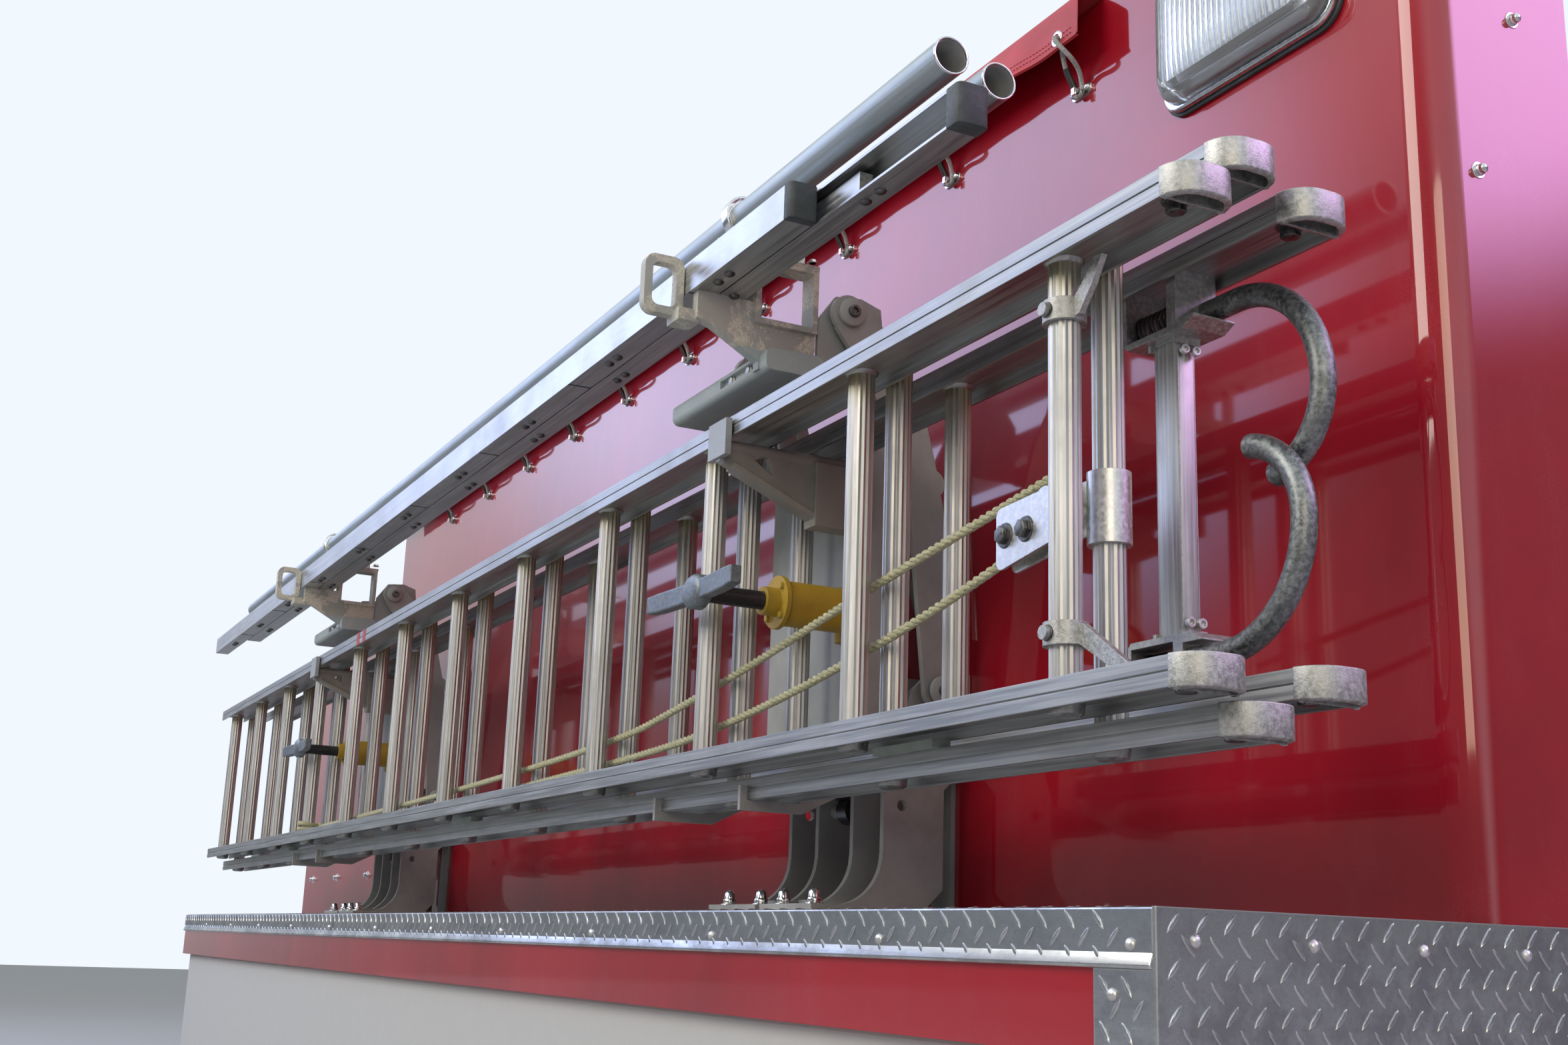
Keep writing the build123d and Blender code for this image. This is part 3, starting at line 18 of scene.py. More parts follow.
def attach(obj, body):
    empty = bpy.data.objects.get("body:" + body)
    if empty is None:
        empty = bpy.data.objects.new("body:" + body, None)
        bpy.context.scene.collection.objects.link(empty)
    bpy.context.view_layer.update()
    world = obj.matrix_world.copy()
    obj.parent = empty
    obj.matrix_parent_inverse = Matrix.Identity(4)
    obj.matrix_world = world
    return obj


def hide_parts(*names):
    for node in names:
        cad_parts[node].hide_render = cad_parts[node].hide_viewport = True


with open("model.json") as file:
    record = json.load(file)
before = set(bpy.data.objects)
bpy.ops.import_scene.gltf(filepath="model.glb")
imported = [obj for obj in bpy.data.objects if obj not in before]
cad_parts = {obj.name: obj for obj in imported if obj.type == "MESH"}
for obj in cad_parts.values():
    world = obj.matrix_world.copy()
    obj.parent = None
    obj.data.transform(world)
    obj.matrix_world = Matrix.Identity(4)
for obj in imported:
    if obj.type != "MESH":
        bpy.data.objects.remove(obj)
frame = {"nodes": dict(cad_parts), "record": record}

LOG = logging.getLogger("ladder_rack")
Point = tuple[float, float, float]
Colour = tuple[float, float, float]
Piece = bpy.types.Object
Socket = bpy.types.NodeSocket
Value = Union[Socket, float, Sequence[float]]
UP: Point = (0.0, 0.0, 1.0)
DOWN: Point = (0.0, 0.0, -1.0)
OUT: Point = (0.0, -1.0, 0.0)
REAR: Point = (1.0, 0.0, 0.0)
FRONT: Point = (-1.0, 0.0, 0.0)


def mm(*sizes: float) -> tuple[float, ...]:
    """Millimetres as metres."""
    return tuple(size / 1000.0 for size in sizes)


class Grain(Enum):
    """Which way a metal's streaks run."""

    NONE = (1.0, 1.0, 1.0)
    ALONG_X = (0.02, 1.0, 1.0)
    ALONG_Z = (1.0, 1.0, 0.02)


# Materials


class Wiring:
    """Adds nodes to a tree and links them, for materials, lamps and the world."""

    def __init__(self, tree: bpy.types.NodeTree) -> None:
        """Keep the tree."""
        self.tree = tree

    def node(self, kind: str, **options: object) -> bpy.types.Node:
        """New node of a kind.

        Args:
            kind: its type without ShaderNode.
            options: its settings.

        Returns:
            The node.
        """
        made = self.tree.nodes.new(f"ShaderNode{kind}")
        for name, value in options.items():
            setattr(made, name, value)
        return made

    def put(self, socket: Socket, value: Value) -> None:
        """Link a socket to another, or set it to a number or a colour.

        Args:
            socket: the input.
            value: what it gets.
        """
        if isinstance(value, bpy.types.NodeSocket):
            self.tree.links.new(value, socket)
        elif isinstance(value, (int, float)):
            socket.default_value = value
        else:
            socket.default_value = (*value, 1.0)

    def math(self, operation: str, first: Value, second: Value = 0.0) -> Socket:
        """One arithmetic step between sockets or numbers.

        Args:
            operation: what is done.
            first: its first value.
            second: its second value.

        Returns:
            The result socket.
        """
        made = self.node("Math", operation=operation)
        self.put(made.inputs[0], first)
        self.put(made.inputs[1], second)
        return made.outputs[0]

    def part(self, vector: Socket, axis: str) -> Socket:
        """One axis of a vector socket.

        Args:
            vector: the socket.
            axis: X, Y or Z.

        Returns:
            The axis's socket.
        """
        made = self.node("SeparateXYZ")
        self.put(made.inputs[0], vector)
        return made.outputs[axis]

    def ramp(
        self, factor: Socket, low: float, high: float, to_low: float = 0.0, to_high: float = 1.0,
        shape: str = "SMOOTHSTEP",
    ) -> Socket:
        """Map a range of a factor to another range, clamped.

        Args:
            factor: socket that is mapped.
            low: value that becomes to_low.
            high: value that becomes to_high.
            to_low: lowest result.
            to_high: highest result.
            shape: how it runs between the two.

        Returns:
            The result socket.
        """
        made = self.node("MapRange", interpolation_type=shape)
        limits = (("From Min", low), ("From Max", high), ("To Min", to_low), ("To Max", to_high))
        for name, value in (*limits, ("Value", factor)):
            self.put(made.inputs[name], value)
        return made.outputs["Result"]

    def blend(self, factor: Value, first: Value, second: Value) -> Socket:
        """Mix two colours, each a socket or a plain colour.

        Args:
            factor: socket or number.
            first: colour at 0.
            second: colour at 1.

        Returns:
            The colour socket.
        """
        made = self.node("Mix", data_type="RGBA")
        for index, value in ((0, factor), (6, first), (7, second)):
            self.put(made.inputs[index], value)
        return made.outputs[2]


class NodeBoard(Wiring):
    """Wires one procedural material."""

    def __init__(self, name: str) -> None:
        """Start a material with its shader and its coordinates.

        Args:
            name: name of the material.
        """
        self.material = bpy.data.materials.new(name)
        self.material.use_nodes = True
        super().__init__(self.material.node_tree)
        self.shader = self.tree.nodes["Principled BSDF"]
        self.coords = self.node("TexCoord").outputs["Object"]

    def place(self, scale: Sequence[float] = (1, 1, 1), turn: float = 0.0) -> Socket:
        """Object coordinates, stretched and turned.

        Args:
            scale: stretch along each axis.
            turn: turn about Y in radians.

        Returns:
            The vector socket.
        """
        made = self.node("Mapping")
        made.inputs["Scale"].default_value = scale
        made.inputs["Rotation"].default_value = (0, turn, 0)
        self.put(made.inputs["Vector"], self.coords)
        return made.outputs["Vector"]

    def noise(
        self, vector: Socket, scale: float, detail: float = 4.0, rough: float = 0.6, warp: float = 0.0,
    ) -> Socket:
        """Noise of a given scale.

        Args:
            vector: coordinates it reads.
            scale: features per metre.
            detail: octaves.
            rough: share of the fine octaves.
            warp: distortion.

        Returns:
            The factor socket.
        """
        made = self.node("TexNoise")
        values = {"Vector": vector, "Scale": scale, "Detail": detail, "Roughness": rough, "Distortion": warp}
        for name, value in values.items():
            self.put(made.inputs[name], value)
        return made.outputs["Fac"]

    def waves(self, vector: Socket, scale: float, direction: str) -> Socket:
        """Straight bands.

        Args:
            vector: coordinates that they read.
            scale: bands per metre.
            direction: axis that they follow each other along.

        Returns:
            The factor socket.
        """
        made = self.node("TexWave", bands_direction=direction)
        self.put(made.inputs["Scale"], scale)
        self.put(made.inputs["Distortion"], 0.0)
        self.put(made.inputs["Vector"], vector)
        return made.outputs["Fac"]

    def rounded(self, radius: float) -> Socket:
        """Normal that is rounded off near an edge.

        Args:
            radius: radius of the rounding.

        Returns:
            The normal socket.
        """
        made = self.node("Bevel", samples=4)
        self.put(made.inputs["Radius"], radius)
        return made.outputs["Normal"]

    def edges(self, radius: float = 0.0022) -> Socket:
        """Factor that is 1 on edges, found where the rounded normal leaves the flat one.

        Args:
            radius: how far it reaches from an edge.

        Returns:
            The factor socket.
        """
        made = self.node("VectorMath", operation="DOT_PRODUCT")
        self.put(made.inputs[0], self.rounded(radius))
        self.put(made.inputs[1], self.node("NewGeometry").outputs["Normal"])
        return self.ramp(made.outputs["Value"], 0.99, 0.86)

    def bump(self, height: Socket, strength: float, depth: float, edge: float = 0.0) -> None:
        """Feed a height socket to the shader's normal.

        Args:
            height: the height socket.
            strength: share of the bump.
            depth: height in metres.
            edge: radius to which sharp edges look rounded.
        """
        made = self.node("Bump")
        self.put(made.inputs["Strength"], strength)
        self.put(made.inputs["Distance"], depth)
        if edge:
            self.put(made.inputs["Normal"], self.rounded(edge))
        self.put(made.inputs["Height"], height)
        self.feed("Normal", made.outputs["Normal"])

    def feed(self, name: str, socket: Socket) -> None:
        """Link a socket to one of the shader's inputs."""
        self.put(self.shader.inputs[name], socket)

    def fixed(self, **values: float) -> None:
        """Set plain values on the shader's own sockets."""
        for name, value in values.items():
            self.shader.inputs[name.replace("_", " ")].default_value = value


@dataclass(frozen=True)
class MetalFinish:
    """Bare metal with streaks, blotches and dirt."""

    name: str
    colour: Colour
    dull: Colour
    roughness: tuple[float, float] = (0.3, 0.5)
    grain: Grain = Grain.NONE
    streaks: float = 220.0
    blotches: float = 9.0
    dirt: float = 0.25
    pits: float = 0.0
    metallic: float = 1.0
    edge: float = 0.0008
    rail_shade: float = 0.0
    rail_shade_colour: Colour = (0.46, 0.40, 0.14)
    rail_shade_from: float = 0.612
    rail_shade_to: float = 0.664

    def material(self) -> bpy.types.Material:
        """Build the material.

        Returns:
            The material.
        """
        board = NodeBoard(self.name)
        board.fixed(Metallic=self.metallic)
        streak = board.noise(board.place(self.grain.value), self.streaks, 3.0, 0.7)
        blotch = board.noise(board.place(), self.blotches, 5.0, 0.62)
        speck = board.noise(board.place(), 900.0, 2.0, 0.5)
        base = board.blend(board.ramp(streak, 0.3, 0.72), self.dull, self.colour)
        base = board.blend(board.ramp(blotch, 0.48, 0.72, 0.0, self.dirt), base, self.dull)
        # Painted shade: a darker, yellow-green band towards the rungs' upper ends, just under the upper
        # rails' webs, broken up by the streaks.
        if self.rail_shade:
            high = board.ramp(board.part(board.place(), "Z"), self.rail_shade_from, self.rail_shade_to, 0.0, self.rail_shade)
            patchy = board.math("MULTIPLY", high, board.ramp(streak, 0.35, 0.6, 0.35, 1.0))
            base = board.blend(patchy, base, self.rail_shade_colour)
        board.feed("Base Color", base)
        low, high = self.roughness
        uneven = board.math("ADD", board.math("MULTIPLY", streak, 0.6), board.math("MULTIPLY", blotch, 0.4))
        board.feed("Roughness", board.ramp(uneven, 0.35, 0.65, low, high))
        height = board.math("ADD", streak, board.math("MULTIPLY", speck, 0.3 + self.pits))
        board.bump(height, 0.12 + 0.5 * self.pits, 0.0006, self.edge)
        return board.material


@dataclass(frozen=True)
class PaintFinish:
    """Painted or powder coated metal with worn edges and dust."""

    name: str
    colour: Colour
    shade: Colour
    worn: Colour = (0.5, 0.49, 0.46)
    roughness: tuple[float, float] = (0.35, 0.55)
    wear: float = 0.6
    grit: float = 420.0
    grit_depth: float = 0.25
    bare: float = 0.0
    zone_axis: str = ""
    zone: tuple[float, float] = (0.0, 1.0)
    zone_colour: Colour = (0.4, 0.4, 0.4)

    def material(self) -> bpy.types.Material:
        """Build the material.

        Returns:
            The material.
        """
        board = NodeBoard(self.name)
        cloud = board.noise(board.place(), 6.0, 6.0, 0.65)
        grit = board.noise(board.place(), self.grit, 3.0, 0.6)
        scuff = board.noise(board.place((0.25, 1, 1)), 60.0, 5.0, 0.7)
        base = board.blend(board.ramp(cloud, 0.35, 0.68), self.shade, self.colour)
        chips = board.math("MULTIPLY", board.edges(), board.ramp(scuff, 0.4, 0.6, 0.0, self.wear))
        base = board.blend(chips, base, self.worn)
        spots = board.ramp(scuff, 0.7, 0.78, 0.0, self.wear * 0.7)
        base = board.blend(spots, base, self.worn)
        if self.bare:
            patch = board.noise(board.place(), 13.0, 8.0, 0.74, 0.3)
            sand = board.noise(board.place(), 430.0, 2.0, 0.6)
            worn = board.ramp(patch, 0.48, 0.53, 0.0, self.bare)
            worn = board.math("MULTIPLY", worn, board.ramp(sand, 0.36, 0.6, 0.25, 1.0))
            base = board.blend(worn, base, self.worn)
        if self.zone_axis:
            inside = board.ramp(board.part(board.place(), self.zone_axis), *self.zone)
            inside = board.math("MULTIPLY", inside, board.ramp(scuff, 0.3, 0.6, 0.7, 1.0))
            base = board.blend(inside, base, self.zone_colour)
        board.feed("Base Color", base)
        low, high = self.roughness
        board.feed("Roughness", board.ramp(cloud, 0.3, 0.7, low, high))
        board.bump(grit, self.grit_depth, 0.0008, 0.0015)
        return board.material


@dataclass(frozen=True)
class BodyPaint:
    """Deep red enamel under a clear coat, dusty and slightly uneven."""

    name: str = "body_enamel"
    colour: Colour = (0.40, 0.003, 0.016)
    deep: Colour = (0.26, 0.0, 0.010)
    dust: Colour = (0.46, 0.20, 0.21)
    coat: float = 1.0

    def material(self) -> bpy.types.Material:
        """Build the material.

        Returns:
            The material.
        """
        board = NodeBoard(self.name)
        board.fixed(Coat_Weight=self.coat, Coat_Roughness=0.05, Coat_IOR=1.72)
        board.fixed(Roughness=0.45, Specular_IOR_Level=0.12)
        cloud = board.noise(board.place(), 1.6, 5.0, 0.6, 0.4)
        dust = board.noise(board.place((1, 1, 0.35)), 14.0, 8.0, 0.72)
        speck = board.noise(board.place(), 520.0, 2.0, 0.6)
        base = board.blend(board.ramp(cloud, 0.3, 0.7), self.deep, self.colour)
        film = board.math("MULTIPLY", board.ramp(dust, 0.46, 0.8, 0.0, 0.16), board.ramp(speck, 0.4, 0.62))
        board.feed("Base Color", board.blend(film, base, self.dust))
        wave = board.noise(board.place(), 3.2, 2.0, 0.4)
        board.bump(wave, 0.035, 0.004)
        return board.material


@dataclass(frozen=True)
class TreadMetal:
    """Bright tread plate with brightened scuffed edges and dull smears and scratches."""

    name: str = "tread_metal"
    colour: Colour = (0.58, 0.60, 0.62)
    dull: Colour = (0.31, 0.32, 0.33)

    def material(self) -> bpy.types.Material:
        """Build the material.

        Returns:
            The material.
        """
        board = NodeBoard(self.name)
        board.fixed(Metallic=1.0)
        smear = board.noise(board.place((0.5, 1, 1)), 22.0, 6.0, 0.7)
        scratch = board.noise(board.place((0.06, 1, 1)), 240.0, 3.0, 0.7)
        base = board.blend(board.ramp(smear, 0.36, 0.66), self.dull, self.colour)
        base = board.blend(board.ramp(scratch, 0.6, 0.78, 0.0, 0.5), base, self.dull)
        base = board.blend(board.edges(), base, (0.86, 0.87, 0.89))
        board.feed("Base Color", base)
        board.feed("Roughness", board.ramp(smear, 0.3, 0.7, 0.42, 0.24))
        board.bump(board.math("ADD", scratch, smear), 0.16, 0.0006)
        return board.material


@dataclass(frozen=True)
class PlainFinish:
    """Moulded or painted surface with fine grain."""

    name: str
    colour: Colour
    shade: Colour
    roughness: float = 0.5
    grain: float = 600.0
    depth: float = 0.2

    def material(self) -> bpy.types.Material:
        """Build the material.

        Returns:
            The material.
        """
        board = NodeBoard(self.name)
        cloud = board.noise(board.place(), 26.0, 5.0, 0.6)
        grain = board.noise(board.place(), self.grain, 3.0, 0.6)
        board.feed("Base Color", board.blend(board.ramp(cloud, 0.35, 0.7), self.shade, self.colour))
        board.feed("Roughness", board.ramp(grain, 0.3, 0.7, self.roughness * 0.8, self.roughness * 1.2))
        board.bump(grain, self.depth, 0.0005)
        return board.material


@dataclass(frozen=True)
class StrandFinish:
    """Twisted or braided yarn that follows a cord's own line."""

    name: str
    colour: Colour
    shade: Colour
    fleck: Colour
    yarns: float = 900.0

    def material(self) -> bpy.types.Material:
        """Build the material.

        Returns:
            The material.
        """
        board = NodeBoard(self.name)
        board.fixed(Roughness=0.85, Sheen_Weight=0.25, Sheen_Roughness=0.5)
        yarn = board.noise(board.place((0.35, 1, 1), turn=0.6), self.yarns, 3.0, 0.7)
        tone = board.noise(board.place(), 90.0, 5.0, 0.7)
        base = board.blend(board.ramp(yarn, 0.35, 0.65), self.shade, self.colour)
        base = board.blend(board.ramp(tone, 0.55, 0.7), base, self.fleck)
        board.feed("Base Color", base)
        board.bump(yarn, 0.6, 0.0009)
        return board.material


@dataclass(frozen=True)
class VinylFinish:
    """Red coated fabric with a fine weave under the coating."""

    name: str = "cover_vinyl"
    colour: Colour = (0.62, 0.02, 0.035)
    shade: Colour = (0.42, 0.008, 0.02)

    def material(self) -> bpy.types.Material:
        """Build the material.

        Returns:
            The material.
        """
        board = NodeBoard(self.name)
        board.fixed(Roughness=0.46, Coat_Weight=0.2, Coat_Roughness=0.35, Sheen_Weight=0.1)
        fold = board.noise(board.place((0.6, 1, 1)), 11.0, 4.0, 0.6)
        across = board.waves(board.place(), 420.0, "X")
        along = board.waves(board.place(), 420.0, "Z")
        board.feed("Base Color", board.blend(board.ramp(fold, 0.35, 0.65), self.shade, self.colour))
        weave = board.math("ADD", across, along)
        board.bump(board.math("ADD", board.math("MULTIPLY", weave, 0.2), fold), 0.35, 0.0016)
        return board.material


@dataclass(frozen=True)
class LensFinish:
    """Clear ribbed moulding."""

    name: str = "lamp_lens"

    def material(self) -> bpy.types.Material:
        """Build the material.

        Returns:
            The material.
        """
        board = NodeBoard(self.name)
        board.fixed(Transmission_Weight=0.85, IOR=1.49, Roughness=0.12)
        haze = board.noise(board.place(), 60.0, 4.0, 0.6)
        board.feed("Base Color", board.blend(haze, (0.80, 0.86, 0.9), (0.93, 0.96, 0.97)))
        board.bump(haze, 0.1, 0.0005)
        return board.material


class FinishShelf:
    """All finishes, one for each material slot of the record, made once."""

    def __init__(self) -> None:
        """Name the finish of each slot."""
        self.finishes = {
            "red_paint": BodyPaint(),
            "tread": TreadMetal(),
            "liner": MetalFinish("liner_sheet", (0.66, 0.67, 0.68), (0.46, 0.47, 0.47), grain=Grain.ALONG_Z),
            "cover": VinylFinish(),
            "chrome": MetalFinish(
                "bright_chrome", (0.86, 0.87, 0.88), (0.62, 0.63, 0.64), (0.06, 0.16), dirt=0.2,
            ),
            "shock_cord": StrandFinish(
                "elastic_cord", (0.50, 0.51, 0.49), (0.26, 0.27, 0.27), (0.03, 0.03, 0.03),
            ),
            "lens": LensFinish(),
            "rail_alloy": MetalFinish(
                "ladder_extrusion", (0.52, 0.53, 0.525), (0.33, 0.335, 0.33), (0.36, 0.54), Grain.ALONG_X,
                dirt=0.5,
            ),
            "rung_alloy": MetalFinish(
                "rung_tube", (0.72, 0.72, 0.71), (0.44, 0.44, 0.43), (0.38, 0.54), Grain.ALONG_Z,
                # Painted shade under the upper rails, at the rungs' upper ends.
                streaks=260.0, blotches=14.0, dirt=0.4, rail_shade=0.75,
            ),
            "cast_alloy": MetalFinish(
                "sand_casting", (0.60, 0.605, 0.60), (0.36, 0.365, 0.35), (0.42, 0.62), pits=0.6, dirt=0.55,
            ),
            "guide_plastic": PlainFinish("slide_plastic", (0.30, 0.35, 0.31), (0.22, 0.26, 0.23)),
            "hook_steel": MetalFinish(
                "galvanised_bar", (0.36, 0.38, 0.39), (0.14, 0.15, 0.15), (0.34, 0.6),
                blotches=34.0, dirt=0.75, pits=0.35,
            ),
            "spring_steel": PlainFinish("black_spring", (0.035, 0.035, 0.035), (0.015, 0.015, 0.015), 0.35),
            "rope": StrandFinish("olive_rope", (0.60, 0.58, 0.36), (0.30, 0.29, 0.16), (0.70, 0.68, 0.50)),
            "pulley_zinc": MetalFinish(
                "zinc_plate", (0.80, 0.81, 0.82), (0.58, 0.58, 0.57), (0.3, 0.5), dirt=0.4,
            ),
            "rack_paint": PaintFinish("rack_coat", (0.42, 0.425, 0.425), (0.29, 0.285, 0.28)),
            "bracket_paint": PaintFinish(
                "bracket_coat", (0.45, 0.455, 0.42), (0.34, 0.345, 0.315), (0.74, 0.69, 0.57),
                grit_depth=0.5, bare=0.95,
                zone_axis="Z", zone=(0.768, 0.7655), zone_colour=(0.37, 0.43, 0.44),
            ),
            "cradle_paint": PaintFinish(
                "cradle_coat", (0.36, 0.35, 0.31), (0.24, 0.235, 0.21), (0.5, 0.48, 0.42),
                grit_depth=0.45, zone_axis="Y", zone=(-0.197, -0.199), zone_colour=(0.33, 0.36, 0.39),
            ),
            "mast_paint": PaintFinish("mast_coat", (0.45, 0.465, 0.45), (0.33, 0.34, 0.33), wear=0.4),
            "ram_black": PlainFinish("ram_coat", (0.03, 0.03, 0.032), (0.016, 0.016, 0.017), 0.3),
            "ram_chrome": MetalFinish(
                "ram_plating", (0.8, 0.81, 0.82), (0.6, 0.6, 0.62), (0.06, 0.14), dirt=0.1,
            ),
            "clamp_yellow": PaintFinish(
                "clamp_coat", (0.56, 0.37, 0.03), (0.36, 0.24, 0.03), (0.22, 0.2, 0.1), (0.3, 0.5),
            ),
            "zinc_cast": MetalFinish(
                "zinc_casting", (0.29, 0.32, 0.34), (0.16, 0.18, 0.20), (0.42, 0.62), blotches=60.0, pits=0.4,
            ),
            "attic_alloy": MetalFinish(
                "attic_extrusion", (0.64, 0.655, 0.66), (0.42, 0.43, 0.44), (0.3, 0.5), Grain.ALONG_X,
                dirt=0.45,
            ),
            "tape_red": PlainFinish("red_tape", (0.52, 0.03, 0.03), (0.36, 0.02, 0.02), 0.45),
            "thread": PlainFinish("sewing_thread", (0.36, 0.015, 0.03), (0.22, 0.008, 0.02), 0.7),
            "dark_steel": MetalFinish(
                "dark_bolt", (0.20, 0.20, 0.20), (0.08, 0.08, 0.08), (0.3, 0.5), pits=0.2,
            ),
            "cap_rubber": PlainFinish("cap_rubber", (0.085, 0.10, 0.11), (0.045, 0.055, 0.06), 0.6),
            "tube_bore": PlainFinish("tube_bore", (0.46, 0.48, 0.47), (0.33, 0.345, 0.34), 0.55),
            "tube_alloy": MetalFinish(
                "tube_satin", (0.48, 0.53, 0.54), (0.34, 0.375, 0.39), (0.42, 0.56), Grain.ALONG_X,
                streaks=160.0, dirt=0.3,
            ),
        }
        self.made: dict[str, bpy.types.Material] = {}

    def get(self, slot: str) -> bpy.types.Material:
        """The material of a slot, built at its first use."""
        if slot not in self.made:
            self.made[slot] = self.finishes[slot].material()
        return self.made[slot]


# Modelling moves


class Bench:
    """Modelling moves that the sub-assemblies share, made with Blender's operators."""

    @staticmethod
    def clear() -> None:
        """Deselect everything."""
        for piece in bpy.context.selected_objects:
            piece.select_set(False)

    @classmethod
    def take(cls, piece: Piece) -> None:
        """Make one object the only selected and the active one.

        Args:
            piece: the object.
        """
        cls.clear()
        piece.select_set(True)
        bpy.context.view_layer.objects.active = piece

    @classmethod
    def open(cls, piece: Piece, action: str = "DESELECT") -> None:
        """Enter edit mode by faces.

        Args:
            piece: the object.
            action: DESELECT for none of its faces, SELECT for all.
        """
        cls.take(piece)
        bpy.ops.object.mode_set(mode="EDIT")
        bpy.ops.mesh.select_mode(type="FACE")
        bpy.ops.mesh.select_all(action=action)

    @staticmethod
    def close() -> None:
        """Leave edit mode."""
        bpy.ops.object.mode_set(mode="OBJECT")

    @classmethod
    def face_out(cls) -> None:
        """Turn all faces of the open piece outwards and leave edit mode."""
        bpy.ops.mesh.select_all(action="SELECT")
        bpy.ops.mesh.normals_make_consistent(inside=False)
        cls.close()

    @staticmethod
    def pick_faces(piece: Piece, test: Callable[[Vector, Vector], bool]) -> None:
        """Select faces of an open piece by their centre and normal.

        Args:
            piece: object in edit mode.
            test: says if a face is wanted.
        """
        mesh = bmesh.from_edit_mesh(piece.data)
        for face in mesh.faces:
            face.select_set(test(face.calc_center_median(), face.normal))
        mesh.select_flush(True)
        bmesh.update_edit_mesh(piece.data)

    @classmethod
    def seat(cls, piece: Piece) -> Piece:
        """Put the object's place into its mesh."""
        cls.take(piece)
        bpy.ops.object.transform_apply(location=True, rotation=True, scale=True)
        return piece

    @classmethod
    def begin(
        cls, name: str, primitive: Callable, scale: Sequence[float] = (1, 1, 1), **options: object,
    ) -> Piece:
        """Start of a piece: a primitive at its size and place.

        Args:
            name: name of the piece.
            primitive: operator that adds it.
            scale: stretch along each axis.
            options: sizes and place for the operator.

        Returns:
            The object.
        """
        cls.clear()
        primitive(**options)
        piece = bpy.context.active_object
        piece.name = name
        piece.scale = scale
        return cls.seat(piece)

    @classmethod
    def block(cls, name: str, low: Sequence[float], high: Sequence[float]) -> Piece:
        """Start of a piece: a cube primitive between two corners.

        Args:
            name: name of the piece.
            low: lowest corner.
            high: highest corner.

        Returns:
            The object.
        """
        sizes = [b - a for a, b in zip(low, high)]
        middle = [(a + b) / 2 for a, b in zip(low, high)]
        return cls.begin(name, bpy.ops.mesh.primitive_cube_add, sizes, size=1.0, location=middle)

    @classmethod
    def path(cls, name: str, points: Sequence[Point], closed: bool = True) -> Piece:
        """Line of edges drawn by extruding one vertex from point to point.

        Args:
            name: name of the piece.
            points: corners in order.
            closed: whether the last point joins the first.

        Returns:
            The object, left in edit mode.
        """
        places = [Vector(point) for point in points]
        piece = cls.begin(name, bpy.ops.mesh.primitive_plane_add, size=0.01, location=places[0])
        bpy.ops.object.mode_set(mode="EDIT")
        bpy.ops.mesh.select_mode(type="VERT")
        bpy.ops.mesh.select_all(action="SELECT")
        bpy.ops.mesh.merge(type="CENTER")
        bpy.ops.mesh.select_all(action="SELECT")
        for here, there in zip(places, places[1:]):
            bpy.ops.mesh.extrude_region_move(TRANSFORM_OT_translate={"value": there - here})
        bpy.ops.mesh.select_all(action="SELECT")
        if closed:
            bpy.ops.mesh.edge_face_add()
        return piece

    @classmethod
    def plate(cls, name: str, points: Sequence[Point], depth: Sequence[float]) -> Piece:
        """Flat outline filled and extruded.

        Args:
            name: name of the piece.
            points: corners of the outline.
            depth: the way it is extruded.

        Returns:
            The object.
        """
        piece = cls.path(name, points)
        bpy.ops.mesh.extrude_region_move(TRANSFORM_OT_translate={"value": Vector(depth)})
        cls.face_out()
        return piece

    @classmethod
    def lathe(
        cls, name: str, profile: Sequence[tuple[float, float]], centre: Sequence[float] = (0, 0, 0),
        axis: Sequence[float] = UP, sides: int = 24,
    ) -> Piece:
        """Profile of (radius, height) points spun round an axis.

        Args:
            name: name of the piece.
            profile: radius and height of each point.
            centre: foot of the axis.
            axis: direction of the axis.
            sides: steps of the spin.

        Returns:
            The object.
        """
        up = Vector(axis).normalized()
        out = up.orthogonal().normalized()
        foot = Vector(centre)
        piece = cls.path(name, [foot + out * r + up * h for r, h in profile], closed=False)
        bpy.ops.mesh.spin(steps=sides, angle=2 * pi, center=foot, axis=up)
        bpy.ops.mesh.select_all(action="SELECT")
        bpy.ops.mesh.remove_doubles(threshold=0.00002)
        cls.face_out()
        return piece

    @classmethod
    def apply(cls, piece: Piece, kind: str, **settings: object) -> Piece:
        """Add a modifier and apply it.

        Args:
            piece: the object.
            kind: type of the modifier.
            settings: its values.

        Returns:
            The same object.
        """
        cls.take(piece)
        step = piece.modifiers.new(kind.lower(), kind)
        for name, value in settings.items():
            setattr(step, name, value)
        bpy.ops.object.modifier_apply(modifier=step.name)
        return piece

    @classmethod
    def bevel(cls, piece: Piece, width: float, segments: int = 2, angle: float = 30.0) -> Piece:
        """Round the edges that are sharper than an angle in degrees.

        Args:
            piece: the object.
            width: width of the bevel.
            segments: its steps.
            angle: degrees from which an edge is sharp.

        Returns:
            The same object.
        """
        sharp = radians(angle)
        return cls.apply(
            piece, "BEVEL", width=width, segments=segments, angle_limit=sharp, use_clamp_overlap=True,
        )

    @classmethod
    def carve(cls, piece: Piece, cutter: Piece) -> Piece:
        """Cut one object by another and drop the other.

        Args:
            piece: the object that is cut.
            cutter: the object that cuts.

        Returns:
            The cut object.
        """
        cls.apply(piece, "BOOLEAN", operation="DIFFERENCE", solver="EXACT", object=cutter)
        cls.drop(cutter)
        return piece

    @classmethod
    def thicken(cls, piece: Piece, thickness: float, offset: float = -1.0) -> Piece:
        """Face a sheet outwards and give it its wall.

        Args:
            piece: the sheet.
            thickness: the wall.
            offset: -1 for a wall behind the sheet, 0 for one round it.

        Returns:
            The same object.
        """
        cls.open(piece)
        cls.face_out()
        return cls.apply(piece, "SOLIDIFY", thickness=thickness, offset=offset)

